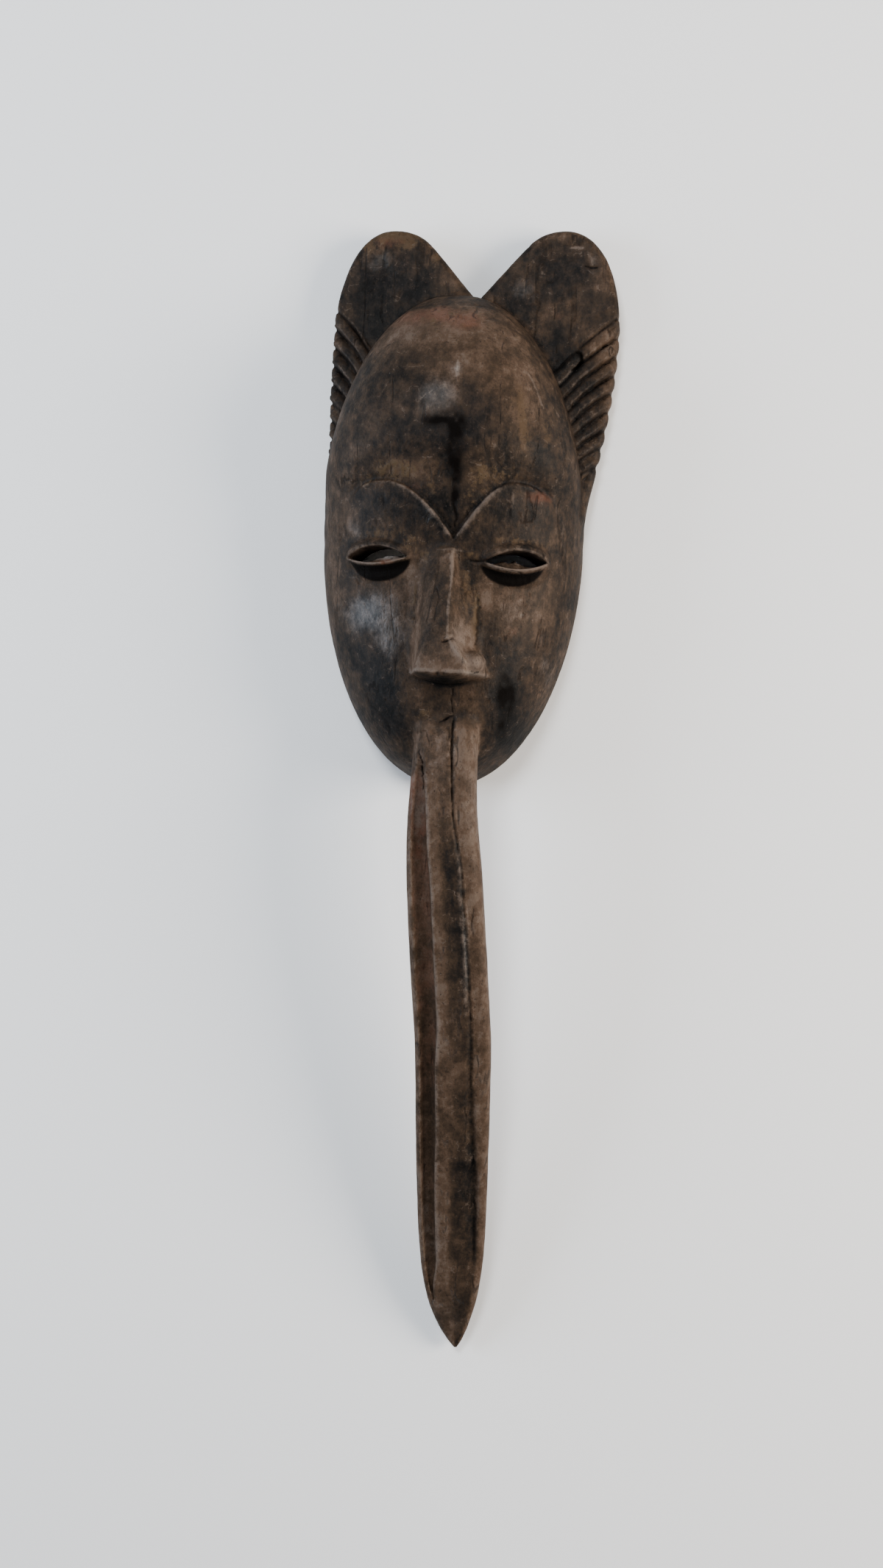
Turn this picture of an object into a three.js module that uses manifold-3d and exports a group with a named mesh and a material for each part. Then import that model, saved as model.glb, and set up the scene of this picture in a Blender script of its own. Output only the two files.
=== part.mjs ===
// Carved wooden face mask with a two-lobed crest and a long beak, lying on its back.
// Millimetres. X runs across the face, Y up the face to the crest, Z out of the face.
// The carving's own frame has X = 0 on the middle of the face and Y = 0 at the chin's edge.
import * as THREE from "three";
import { mergeVertices } from "three/addons/utils/BufferGeometryUtils.js";
import Module from "manifold-3d";

const wasm = await Module();
wasm.setup();

// Driving dimensions of the face
const faceMiddleX = -1;
const faceHalfWidth = 67;
const templeY = 125; // the face is widest here
const chinReach = 126.3; // from the temple line down to the chin's edge
const crownReach = 124; // from the temple line up to the top of the forehead
const archPower = 2.25; // how square the arch of the face is, 2 is an ellipse
const wallThickness = 10;
const seamOverlap = 0.3; // the forehead runs this far under the lids
const domeShare = 0.985; // the dome stops this share of a quarter turn short of its poles
const hairlineY = 160; // above this the forehead springs from the crest plate's face

// Driving dimensions of the crest plate
const plateThickness = 15;
const lobeTopY = 283;
const lobeTopX = 44; // from the crest's own middle
const notchY = 246.9;
const flangeHalfWidth = 73.6;
const flangeFootHalfWidth = 65; // where the flange leaves the temple
const flangeFootY = 135;
const flangeWidestY = 228;
const crestLean = 8.4; // the crest's middle drifts to the right by this much
const leanReach = 132; // over this much of its height

// Driving dimensions of the eyes
const eyeMiddles = [[-32.6, 110.2], [35.6, 109]];
const slitWidth = 31.5;
const slitHeight = 8.8;
const eyeBulgeHalf = [19, 12.5, 9];
const eyeTilt = 0.33; // each eye turns with the curve of the face, in radians
const eyeSink = 4.5; // how far the bulge's middle lies under the cheek's surface

// Driving dimensions of the nose
const noseTopY = 117;
const noseTipY = 53.5;
const noseTipZ = 77;
const noseBaseZ = 46;
const noseUndercut = 5; // how far the underside slopes back up to the face
const wingShare = 0.42; // the wings are widest at this share of the nose's height

// Driving dimensions of the beak
const beakRootY = 40;
const beakTipY = -288.8;
const beakHalfWidth = 19;
const channelFoot = -266;
const channelHead = 20;
const channelDepth = 6;
const grooveFoot = -245;
const grooveHead = 36;
const grooveDepth = 7;
const fullCutDepth = 16; // where the beak is thinner than this, both cuts are shallower
const cutterRise = 4; // the cutters stand this far out of the wood

// Driving dimensions of the strands of hair on the flanges
const strandCount = 8;
const strandPitch = 9.4;
const topStrandY = { right: 233, left: 236 }; // where the uppermost strand on each side ends
const strandSlope = { right: 1, left: 1.35 }; // how far a strand climbs for each step out
const strandTuck = 8; // how far its inner end is set into the forehead
const strandTipInset = 2.4; // its outer end stays this far inside the flange's edge
const strandMiddleZ = [16.5, 14.5, 10]; // at its inner end, its bend and its tip
const strandHalfWidth = 5;
const strandHeight = 4.6; // above its own middle line
const strandDepth = 6.5; // how deep it is set in the plate

/** A smooth function of one variable through [position, value] knots in rising order. */
function through(knots) {
  const positions = knots.map((knot) => knot[0]);
  const values = knots.map((knot) => knot[1]);
  const curve = new THREE.CubicInterpolant(positions, values, 1);
  return (position) => curve.evaluate(THREE.MathUtils.clamp(position, positions[0], positions.at(-1)))[0];
}

/** Turns a closed three.js geometry into a solid that can be joined and cut. */
function solidOf(geometry) {
  const bare = geometry.clone();
  bare.deleteAttribute("normal");
  bare.deleteAttribute("uv");
  const merged = mergeVertices(bare, 1e-4);
  return new wasm.Manifold(new wasm.Mesh({
    numProp: 3,
    vertProperties: new Float32Array(merged.attributes.position.array),
    triVerts: new Uint32Array(merged.index.array),
  }));
}

/** Turns a solid back into a three.js geometry. */
function geometryOf(solid) {
  const mesh = solid.getMesh();
  const geometry = new THREE.BufferGeometry();
  geometry.setAttribute("position", new THREE.BufferAttribute(mesh.vertProperties, 3));
  geometry.setIndex(new THREE.BufferAttribute(mesh.triVerts, 1));
  geometry.computeVertexNormals();
  return geometry;
}

/**
 * A closed solid through convex rings of equal count.
 * Each ring runs counter-clockwise, as seen looking from the first ring towards the last.
 */
function loft(rings) {
  const count = rings[0].length;
  const middles = [rings[0], rings.at(-1)].map((ring) => {
    const middle = new THREE.Vector3();
    ring.forEach((point) => middle.addScaledVector(point, 1 / count));
    return middle;
  });
  const positions = [...rings.flat(), ...middles].flatMap((point) => point.toArray());
  const faces = [];
  const firstMiddle = rings.length * count;
  for (let i = 0; i < count; i += 1) {
    const next = (i + 1) % count;
    for (let r = 0; r + 1 < rings.length; r += 1) {
      const [a, b] = [r * count + i, r * count + next];
      faces.push(a, b + count, b, a, a + count, b + count);
    }
    const last = (rings.length - 1) * count;
    faces.push(firstMiddle, i, next, firstMiddle + 1, last + next, last + i);
  }
  const geometry = new THREE.BufferGeometry();
  geometry.setAttribute("position", new THREE.Float32BufferAttribute(positions, 3));
  geometry.setIndex(faces);
  return solidOf(geometry);
}

/** Evenly spaced numbers from first to last. */
function spaced(first, last, steps) {
  return Array.from({ length: steps + 1 }, (_, i) => first + ((last - first) * i) / steps);
}

/** Half the width of an oval like the face's, at a height y. */
function ovalHalfWidth(y, halfWidth, upReach, downReach) {
  const reach = y > templeY ? upReach : downReach;
  const along = Math.min(1, Math.abs(y - templeY) / reach);
  return halfWidth * Math.sqrt(1 - along * along);
}

// Height of the lids, cheeks and chin above the back of the mask, along the middle of the face
const cheekHeight = through([
  [-1, 5], [1.5, 20], [6, 33], [14, 44], [28, 51], [50, 54.5], [80, 55], [105, 56], [122, 58.6],
  [140, 61.5], [160, 62],
]);

// Height of the forehead: it dips to meet the brows and drops steeply at the crown
const foreheadHeight = through([
  [-1, 3], [1.5, 16], [6, 29], [14, 40], [28, 47], [60, 51], [100, 52.5], [118, 55.6], [132, 59.5],
  [148, 64], [168, 67.5], [185, 67], [205, 62], [222, 53], [236, 41], [245, 28], [249, 16],
]);

/** The arched cross-section of the face at a height y, over a flat base. */
function archRing(y, halfWidth, height, baseZ, steps) {
  const springZ = plateThickness * THREE.MathUtils.smoothstep(y, flangeFootY, hairlineY);
  const ring = [new THREE.Vector3(faceMiddleX + halfWidth, y, baseZ)];
  for (let i = 0; i <= steps; i += 1) {
    const angle = (Math.PI * i) / steps;
    const across = Math.sign(Math.cos(angle)) * Math.abs(Math.cos(angle)) ** (2 / archPower);
    const up = Math.abs(Math.sin(angle)) ** (2 / archPower);
    const z = springZ + 0.01 + (height - springZ) * up;
    ring.push(new THREE.Vector3(faceMiddleX + halfWidth * across, y, z));
  }
  ring.push(new THREE.Vector3(faceMiddleX - halfWidth, y, baseZ));
  return ring;
}

/** A face-shaped dome: stations are closer together towards the chin and the crown. */
function faceDome(heightAt, inset, baseZ, steps, archSteps) {
  const up = crownReach - inset;
  const down = chinReach - inset;
  const rings = spaced(-domeShare, domeShare, steps).map((turn) => {
    const y = templeY + Math.sin((turn * Math.PI) / 2) * (turn > 0 ? up : down);
    const halfWidth = ovalHalfWidth(y, faceHalfWidth - inset, up, down);
    return archRing(y, halfWidth, heightAt(y) - inset, baseZ, archSteps);
  });
  return loft(rings);
}

/** How far the middle of the crest has drifted to the right at a height y. */
function leanAt(y) {
  const along = THREE.MathUtils.clamp((y - flangeFootY) / leanReach, 0, 1);
  return crestLean * (1 - (1 - along) ** 1.6);
}

/** Half the width of the flange beside the forehead at a height y. */
function flangeHalfWidthAt(y) {
  const along = THREE.MathUtils.clamp((y - flangeFootY) / (flangeWidestY - flangeFootY), 0, 1);
  return THREE.MathUtils.lerp(flangeFootHalfWidth, flangeHalfWidth, Math.sin((along * Math.PI) / 2));
}

/** The crest plate: two rounded lobes over flanges that run down into the temples. */
function crestPlate() {
  const bevel = 5;
  const half = new THREE.Path();
  half.moveTo(0, notchY);
  half.lineTo(23, 273.5);
  half.bezierCurveTo(30.5, 282, 38, lobeTopY, lobeTopX, lobeTopY);
  half.bezierCurveTo(62, lobeTopY, 72.5, 260, flangeHalfWidth, flangeWidestY);
  spaced(flangeWidestY, 138, 8).slice(1).forEach((y) => half.lineTo(flangeHalfWidthAt(y), y));
  half.lineTo(52, 112);
  const right = half.getPoints(10);
  const left = right.slice(1).reverse().map((point) => new THREE.Vector2(-point.x, point.y));
  const outline = [...right, ...left].map((point) => new THREE.Vector2(point.x + leanAt(point.y), point.y));
  const plate = new THREE.ExtrudeGeometry(new THREE.Shape(outline), {
    depth: plateThickness - 2 * bevel,
    bevelThickness: bevel,
    bevelSize: bevel,
    bevelOffset: -bevel,
    bevelSegments: 3,
  });
  plate.translate(0, 0, bevel);
  return solidOf(plate);
}

/** Where a strand that ends at a place on the flange's edge springs from the forehead. */
function strandRoot(side, outerX, outerY) {
  const slope = side > 0 ? strandSlope.right : strandSlope.left;
  let [innerX, innerY] = [outerX, outerY];
  for (let step = 0; step < 6; step += 1) {
    innerX = faceMiddleX + side * (ovalHalfWidth(innerY, faceHalfWidth, crownReach, chinReach) - strandTuck);
    innerY = (innerY + outerY - slope * Math.abs(outerX - innerX)) / 2;
  }
  return [innerX, innerY];
}

/** The line that the middle of a strand follows, up and out over the flange to its edge. */
function strandSweep(side, index) {
  const outerY = (side > 0 ? topStrandY.right : topStrandY.left) - strandPitch * index;
  const outerX = side * (flangeHalfWidthAt(outerY) - strandTipInset) + leanAt(outerY);
  const [innerX, innerY] = strandRoot(side, outerX, outerY);
  const bendX = THREE.MathUtils.lerp(innerX, outerX, 0.35);
  const bendY = THREE.MathUtils.lerp(innerY, outerY, 0.65);
  return new THREE.QuadraticBezierCurve3(
    new THREE.Vector3(innerX, innerY, strandMiddleZ[0]),
    new THREE.Vector3(bendX, bendY, strandMiddleZ[1]),
    new THREE.Vector3(outerX, outerY, strandMiddleZ[2]),
  );
}

/** One strand of hair: a ridge that is fullest past its middle. */
function strand(side, index) {
  const sweep = strandSweep(side, index);
  const sides = 6;
  const rings = spaced(0, 1, 6).map((along) => {
    const middle = sweep.getPoint(along);
    const ahead = sweep.getTangent(along);
    const across = new THREE.Vector3(ahead.y, -ahead.x, 0).normalize();
    const fullness = 0.55 + 0.45 * Math.sin(Math.PI * Math.min(0.82, 0.12 + along));
    return spaced(0, 2 * Math.PI, sides).slice(0, sides).map((angle) => {
      const reach = angle > Math.PI ? strandDepth : strandHeight * fullness;
      return middle.clone()
        .addScaledVector(across, strandHalfWidth * fullness * Math.cos(angle))
        .add(new THREE.Vector3(0, 0, reach * Math.sin(angle)));
    });
  });
  return loft(rings);
}

/** The lids below the brows: everything under two arches that meet in a V between them. */
function underTheBrows() {
  const below = new THREE.Shape();
  below.moveTo(-90, -20);
  below.lineTo(90, -20);
  below.lineTo(90, 112);
  below.quadraticCurveTo(60, 121, 54, 135);
  below.bezierCurveTo(49, 145, 42, 147.5, 32.5, 147.3);
  below.bezierCurveTo(22, 146.5, 12, 130, 4.5, 119.8);
  below.bezierCurveTo(-3, 131, -16, 147.5, -31.5, 147.8);
  below.bezierCurveTo(-42, 147.5, -48, 143, -51, 135);
  below.quadraticCurveTo(-57, 121, -90, 112);
  return solidOf(new THREE.ExtrudeGeometry(below, { depth: 100, bevelEnabled: false, curveSegments: 9 }));
}

/** Height of the cheek's surface at a place off the middle of the face. */
function cheekSurface(x, y) {
  const across = Math.abs(x) / ovalHalfWidth(y, faceHalfWidth, crownReach, chinReach);
  return cheekHeight(y) * (1 - across ** archPower) ** (1 / archPower);
}

/** Turns a geometry made flat around the origin to lie on the curved face at an eye. */
function placedAtEye(geometry, x, y, lift) {
  geometry.rotateY(Math.sign(x) * eyeTilt);
  geometry.translate(x, y, cheekSurface(x, y) + lift);
  return solidOf(geometry);
}

/** The almond-shaped swelling of an eye. */
function eyeBulge(x, y) {
  const bulge = new THREE.SphereGeometry(1, 22, 12);
  bulge.scale(...eyeBulgeHalf);
  return placedAtEye(bulge, x, y, -eyeSink);
}

/** The narrow slit that goes right through an eye: two shallow arcs between its corners. */
function eyeSlit(x, y) {
  const opening = new THREE.Shape();
  opening.moveTo(-slitWidth / 2, 0);
  opening.quadraticCurveTo(0, -slitHeight, slitWidth / 2, 0);
  opening.quadraticCurveTo(0, slitHeight, -slitWidth / 2, 0);
  const reach = 24;
  const extent = { depth: 2 * reach, bevelEnabled: false, curveSegments: 8 };
  const cutter = new THREE.ExtrudeGeometry(opening, extent);
  cutter.translate(0, 0, -reach);
  return placedAtEye(cutter, x, y, 0);
}

/** The wedge-shaped nose: a flat front, two side facets, spreading wings and a cut-back underside. */
function nose() {
  const frontX = through([[45, 7.4], [noseTipY, 7], [90, 4.6], [noseTopY, 3]]);
  const frontHalf = through([[45, 9], [noseTipY, 9.9], [75, 7], [95, 5.6], [noseTopY, 5.4]]);
  const baseX = through([[45, 6.4], [noseTipY, 6.4], [63, 2], [76, 0.6], [104, 1], [noseTopY, 2.4]]);
  const baseHalf = through([[45, 16], [noseTipY, 19.6], [63, 16.2], [76, 15.2], [104, 12.6], [noseTopY, 8]]);
  const frontZ = through([[noseTipY, noseTipZ], [76, 73.2], [98, 64.5], [110, 59.5], [noseTopY, 57.6]]);
  const underY = noseTipY - noseUndercut;
  const stations = [...spaced(underY, noseTipY, 3), ...spaced(noseTipY, noseTopY, 11).slice(1)];
  const rings = stations.map((y) => {
    const underside = THREE.MathUtils.clamp((y - underY) / noseUndercut, 0, 1);
    const top = y < noseTipY ? THREE.MathUtils.lerp(noseBaseZ + 4, noseTipZ, underside ** 0.8) : frontZ(y);
    const wingZ = noseBaseZ + (top - noseBaseZ) * wingShare;
    const [front, base] = [frontHalf(y), baseHalf(y)];
    return [
      [baseX(y) + base * 0.9, noseBaseZ], [baseX(y) + base, wingZ], [frontX(y) + front, top],
      [frontX(y) - front, top], [baseX(y) - base, wingZ], [baseX(y) - base * 0.9, noseBaseZ],
    ].map(([x, z]) => new THREE.Vector3(x, y, z));
  });
  return loft(rings);
}

// The beak's middle, half-width, upper surface and thickness along Y
const beakMiddleX = through([
  [beakTipY, 14.7], [-270, 12.9], [-228, 12.1], [-136, 11.5], [-92, 8.7], [-48, 5.5], [-10, 3.3],
  [beakRootY, 3.6],
]);
const beakHalf = through([
  [beakTipY, 1], [-284, 4], [-276, 8], [-260, 13], [-244, 15.6], [-220, 17.2], [-160, 18.5],
  [-100, beakHalfWidth], [-48, 18.6], [-5, 16.4], [beakRootY, 15],
]);
const beakTopZ = through([
  [beakTipY, 7.5], [-262, 16], [-235, 23], [-190, 35.5], [-137, 48], [-90, 56.5], [-48, 61.5], [-20, 62.6],
  [0, 61.6], [14, 58.6], [26, 55.2], [beakRootY, 49],
]);
const beakDepth = through([
  [beakTipY, 4], [-270, 9], [-235, 13], [-190, 17.5], [-137, 22], [-48, 25], [0, 26], [beakRootY, 24],
]);

/** A ring of the beak or of a cut in it: places are shares of its half-width and heights over its top. */
function beakRing(y, places) {
  return places.map(([across, over]) => new THREE.Vector3(
    beakMiddleX(y) + across * beakHalf(y), y, beakTopZ(y) + over));
}

/** Places on the beak's body: a flat top, bevelled rims and a rounded underside. */
function beakBody() {
  const rings = spaced(beakTipY, beakRootY, 32).map((y) => {
    const depth = beakDepth(y);
    return beakRing(y, [
      [0.55, -depth], [0.86, -depth * 0.72], [1, -depth * 0.38], [0.95, -depth * 0.1], [0.74, -0.2],
      [0, 0], [-0.5, -0.2], [-0.88, -depth * 0.07], [-1, -depth * 0.38], [-0.86, -depth * 0.72],
      [-0.55, -depth],
    ]);
  });
  return loft(rings);
}

/** How deep a cut in the beak is at a height y: it runs out over a stretch at its foot and at its head. */
function cutDepth(y, full, share) {
  return full * Math.min(1, beakDepth(y) / fullCutDepth) * share;
}

/** The broad channel down the left of the beak's rib, from the chin almost to the tip. */
function beakChannel() {
  const rings = spaced(channelFoot, channelHead, 22).map((y) => {
    const foot = THREE.MathUtils.smoothstep(y, channelFoot, channelFoot + 22);
    const head = 1 - THREE.MathUtils.smoothstep(y, channelHead - 28, channelHead);
    const open = foot * head;
    const deep = cutDepth(y, channelDepth, open);
    const [outer, inner] = [-0.66 - 0.2 * open, -0.62 + 0.18 * open];
    return beakRing(y, [
      [inner, cutterRise], [outer - 0.03, cutterRise], [outer, 0.5 - deep * 0.8], [inner, 0.5 - deep],
    ]);
  });
  return loft(rings);
}

/** The narrow groove down the right of the rib: a crack at first, a wider furrow near the tip. */
function beakGroove() {
  const leftEdge = through([[grooveFoot, 0.74], [-215, 0.62], [-160, 0.46], [-80, 0.46], [grooveHead, 0.4]]);
  const rightEdge = through([[grooveFoot, 0.8], [-215, 0.78], [-160, 0.66], [-80, 0.55], [grooveHead, 0.52]]);
  const rings = spaced(grooveFoot, grooveHead, 22).map((y) => {
    const foot = THREE.MathUtils.smoothstep(y, grooveFoot, grooveFoot + 20);
    const head = 1 - 0.6 * THREE.MathUtils.smoothstep(y, grooveHead - 21, grooveHead);
    const floor = 0.4 - cutDepth(y, grooveDepth, foot * head);
    const [left, right] = [leftEdge(y), rightEdge(y)];
    return beakRing(y, [
      [right + 0.03, cutterRise], [left - 0.03, cutterRise], [left, floor], [right, floor],
    ]);
  });
  return loft(rings);
}

/** The whole mask, carved from one block of wood. */
function carvedMask() {
  const indices = spaced(0, strandCount - 1, strandCount - 1);
  const strands = [-1, 1].flatMap((side) => indices.map((index) => strand(side, index)));
  const beak = beakBody().subtract(beakChannel()).subtract(beakGroove());
  const lids = underTheBrows();
  const body = [
    faceDome(foreheadHeight, 0, 0, 38, 28).subtract(lids.translate([0, -seamOverlap, 0])),
    faceDome(cheekHeight, 0, 0, 38, 28).intersect(lids),
    crestPlate(),
    ...strands,
    ...eyeMiddles.map(([x, y]) => eyeBulge(x, y)),
    nose(),
    beak,
  ].reduce((joined, piece) => joined.add(piece));
  const hollow = faceDome(foreheadHeight, wallThickness, -5, 20, 16);
  const slits = eyeMiddles.map(([x, y]) => eyeSlit(x, y));
  const carved = [hollow, ...slits].reduce((left, cut) => left.subtract(cut), body);
  // Where joined pieces enclose a speck of air between them, only the outer skin is kept
  return carved.decompose().sort((a, b) => b.volume() - a.volume())[0];
}

const darkWood = new THREE.MeshStandardMaterial({ color: 0x2e211b, roughness: 0.55, metalness: 0 });
const mask = new THREE.Mesh(geometryOf(carvedMask()), darkWood);
mask.name = "carved_mask";

// The origin is under the middle of the mask's box, on the plane that it lies on
mask.geometry.computeBoundingBox();
const middle = mask.geometry.boundingBox.getCenter(new THREE.Vector3());
mask.position.set(-middle.x, -middle.y, 0);

const root = new THREE.Group();
root.add(mask);

export default root;
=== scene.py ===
"""Carved wooden face mask with a lobed crest and a long beak, lying on its back.

The wood is one body, so its shape is one field of distances: dome, brow pads, crest, strands, eyes,
nose and beak are joined in it, and the hollow, slits, grooves, cracks and chips are cut out of it.
The field's skin becomes the visible mesh. Geometry Nodes sweep the strands and hew the skin.

Sizes are millimetres in the carving's own frame: X = 0 on the middle of the face, Y = 0 at the
chin's edge and Z = 0 on the plane that the back lies on. Finished meshes are in metres. The arrays
x, y and z hold places across, along and up, and a distance is negative inside a body.
"""

import logging
import math
from collections.abc import Callable
from dataclasses import dataclass, field
from enum import Enum

import bpy
import numpy as np
from mathutils import Matrix, Vector
from mathutils.bvhtree import BVHTree


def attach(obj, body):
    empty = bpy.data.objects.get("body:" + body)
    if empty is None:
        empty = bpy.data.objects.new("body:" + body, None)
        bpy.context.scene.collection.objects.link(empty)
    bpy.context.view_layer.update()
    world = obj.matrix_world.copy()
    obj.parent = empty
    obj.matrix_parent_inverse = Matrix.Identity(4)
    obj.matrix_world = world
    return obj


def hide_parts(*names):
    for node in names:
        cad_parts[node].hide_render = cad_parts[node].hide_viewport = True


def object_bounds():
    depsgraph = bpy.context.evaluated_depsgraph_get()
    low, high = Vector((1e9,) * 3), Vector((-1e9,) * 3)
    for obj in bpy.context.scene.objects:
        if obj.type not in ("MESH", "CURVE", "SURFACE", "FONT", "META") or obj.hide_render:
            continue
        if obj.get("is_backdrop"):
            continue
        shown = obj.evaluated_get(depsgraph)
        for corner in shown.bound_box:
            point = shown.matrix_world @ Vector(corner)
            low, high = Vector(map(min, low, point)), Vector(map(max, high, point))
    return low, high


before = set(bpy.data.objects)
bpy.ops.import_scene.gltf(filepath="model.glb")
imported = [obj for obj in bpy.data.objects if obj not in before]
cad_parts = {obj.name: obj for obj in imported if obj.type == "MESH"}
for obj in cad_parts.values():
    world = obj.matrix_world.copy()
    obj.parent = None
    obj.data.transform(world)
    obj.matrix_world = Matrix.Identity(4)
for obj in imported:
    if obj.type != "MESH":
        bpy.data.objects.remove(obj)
CAD_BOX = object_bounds()

log = logging.getLogger("mask")

Array = np.ndarray
Socket = bpy.types.NodeSocket
Mesh = bpy.types.Mesh
Object = bpy.types.Object
Material = bpy.types.Material
Triple = tuple[float, float, float]
Route = list[tuple[float, float]]
Covers = dict[str, Array]
MM = 0.001
FAR = 50.0

BEAK_TIP_Y = -288.8
FACE_BOX = (-69, 67, -2, 250, 0, 70)
HOLLOW_BOX = (-58, 56, 8, 240, -5, 58)
CREST_BOX = (-72, 84, 112, 284, 0, 15)
STRANDS_BOX = (-72, 84, 130, 240, 0, 24)
NOSE_BOX = (-16, 28, 46, 118, 44, 78)
BEAK_BOX = (-16, 32, -289, 42, 2, 64)


class Side(Enum):
    """The side of the face, as seen by somebody looking at it."""

    LEFT = -1
    RIGHT = 1


def smooth_step(low: float, high: float, at: Array) -> Array:
    """A smooth rise from 0 at low to 1 at high.

    Args:
        low: where the rise starts.
        high: where it ends.
        at: the places.

    Returns:
        The rise at each place.
    """
    along = np.clip((at - low) / (high - low), 0, 1)
    return along * along * (3 - 2 * along)


def hump(at: Array, middle: float | Array, width: float | Array) -> Array:
    """A round hump, 1 at its middle, that fades away on both sides."""
    return np.exp(-(((at - middle) / width) ** 2))


def joined(first: Array, second: Array, fillet: float | Array) -> Array:
    """The distance to two joined bodies, with a fillet between them.

    Args:
        first: distances to one body.
        second: distances to the other.
        fillet: how far the fillet reaches, in millimetres.

    Returns:
        Distances to the union.
    """
    share = np.clip(0.5 + 0.5 * (second - first) / fillet, 0, 1)
    return second + (first - second) * share - fillet * share * (1 - share)


def common(first: Array, second: Array, rounding: float) -> Array:
    """The distance to what two bodies share, with its edges rounded.

    Args:
        first: distances to one body.
        second: distances to the other.
        rounding: how far the rounding reaches.

    Returns:
        Distances to the intersection.
    """
    return -joined(-first, -second, rounding)


def cut(body: Array, cutter: Array, rounding: float) -> Array:
    """The distance to a body after a cut, with the cut's edges rounded.

    Args:
        body: distances to the body.
        cutter: distances to what is taken away.
        rounding: how far the rounding reaches.

    Returns:
        Distances to what is left.
    """
    return common(body, -cutter, rounding)


def as_distance(shape: Callable[[Array, Array, Array], Array], x: Array, y: Array, z: Array) -> Array:
    """Turns any smooth function that is zero on a surface into a near distance.

    Args:
        shape: the function, negative inside.
        x, y, z: the places.

    Returns:
        Distances, right close to the surface.
    """
    step = 0.3
    here = shape(x, y, z)
    slope_x = shape(x + step, y, z) - here
    slope_y = shape(x, y + step, z) - here
    slope_z = shape(x, y, z + step) - here
    slope = np.sqrt(slope_x**2 + slope_y**2 + slope_z**2) / step
    return here / np.maximum(slope, 2e-3)


class Profile:
    """A smooth curve through knots that never overshoots them."""

    def __init__(self, *knots: tuple[float, float]) -> None:
        """Samples the curve finely, so that long arrays read it quickly.

        Args:
            knots: places and values, in rising order.
        """
        at = np.array([knot[0] for knot in knots], float)
        value = np.array([knot[1] for knot in knots], float)
        gap = np.diff(at)
        rise = np.diff(value) / gap
        slope = np.zeros_like(value)
        slope[0], slope[-1] = rise[0], rise[-1]
        same = rise[:-1] * rise[1:] > 0
        near, far = 2 * gap[1:] + gap[:-1], gap[1:] + 2 * gap[:-1]
        with np.errstate(divide="ignore", invalid="ignore"):
            mean = (near + far) / (near / rise[:-1] + far / rise[1:])
        slope[1:-1] = np.where(same, mean, 0)
        self.at = np.linspace(at[0], at[-1], max(64, int((at[-1] - at[0]) * 4)))
        piece = np.clip(np.searchsorted(at, self.at, side="right") - 1, 0, len(gap) - 1)
        along = (self.at - at[piece]) / gap[piece]
        start = (1 + 2 * along) * (1 - along) ** 2 * value[piece]
        leave = along * (1 - along) ** 2 * gap[piece] * slope[piece]
        end = along**2 * (3 - 2 * along) * value[piece + 1]
        arrive = along**2 * (along - 1) * gap[piece] * slope[piece + 1]
        self.value = start + leave + end + arrive

    def __call__(self, along: Array) -> Array:
        """Reads the curve, flat beyond its ends."""
        return np.interp(along, self.at, self.value).astype(np.float32)


def bezier(points: Route, steps: int = 24) -> Array:
    """A Bezier arc of any degree as a row of points.

    Args:
        points: its control points.
        steps: how many steps it is cut into.

    Returns:
        The points, one a row.
    """
    share = np.linspace(0, 1, steps + 1)[:, None]
    level = [np.array(point, float) * np.ones_like(share) for point in points]
    while len(level) > 1:
        level = [a + (b - a) * share for a, b in zip(level, level[1:])]
    return level[0]


@dataclass(frozen=True)
class Sheet:
    """The plane that outlines, cracks and stains are drawn on, as a grid over the face."""

    left: float = -94.0
    right: float = 96.0
    foot: float = -298.0
    head: float = 294.0
    step: float = 0.5

    def places(self) -> tuple[Array, Array]:
        """The grid's places across and along, as two arrays."""
        across = np.arange(self.left, self.right, self.step, dtype=np.float32)
        along = np.arange(self.foot, self.head, self.step, dtype=np.float32)
        return np.meshgrid(across, along)

    def read(self, drawing: Array, x: Array, y: Array) -> Array:
        """Reads a drawing at any place, between its grid points.

        Args:
            drawing: values on the grid.
            x, y: the places.

        Returns:
            The drawing's value at each place.
        """
        rows, columns = drawing.shape
        u = np.clip((x - self.left) / self.step, 0, columns - 1.001)
        v = np.clip((y - self.foot) / self.step, 0, rows - 1.001)
        i, j = u.astype(np.int32), v.astype(np.int32)
        u, v = (u - i).astype(np.float32), (v - j).astype(np.float32)
        flat = drawing.ravel()
        at = j * columns + i
        low = flat[at] * (1 - u) + flat[at + 1] * u
        high = flat[at + columns] * (1 - u) + flat[at + columns + 1] * u
        return low * (1 - v) + high * v


SHEET = Sheet()
SHEET_X, SHEET_Y = SHEET.places()


def distance_to_line(points: Array, x: Array, y: Array, widths: Array | None = None) -> Array:
    """The distance from places to an open line, less the line's half-width there.

    Args:
        points: the line's points, one a row.
        x, y: the places.
        widths: the line's half-width at each point, or nothing.

    Returns:
        The distance of each place.
    """
    nearest = np.full(x.shape, FAR * 4, np.float32)
    half = np.zeros(len(points)) if widths is None else widths
    for a, b, wide_a, wide_b in zip(points, points[1:], half, half[1:]):
        ahead = b - a
        length = max(float(ahead @ ahead), 1e-9)
        share = np.clip(((x - a[0]) * ahead[0] + (y - a[1]) * ahead[1]) / length, 0, 1)
        off = np.hypot(x - a[0] - share * ahead[0], y - a[1] - share * ahead[1])
        nearest = np.minimum(nearest, off - (wide_a + (wide_b - wide_a) * share))
    return nearest


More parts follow.
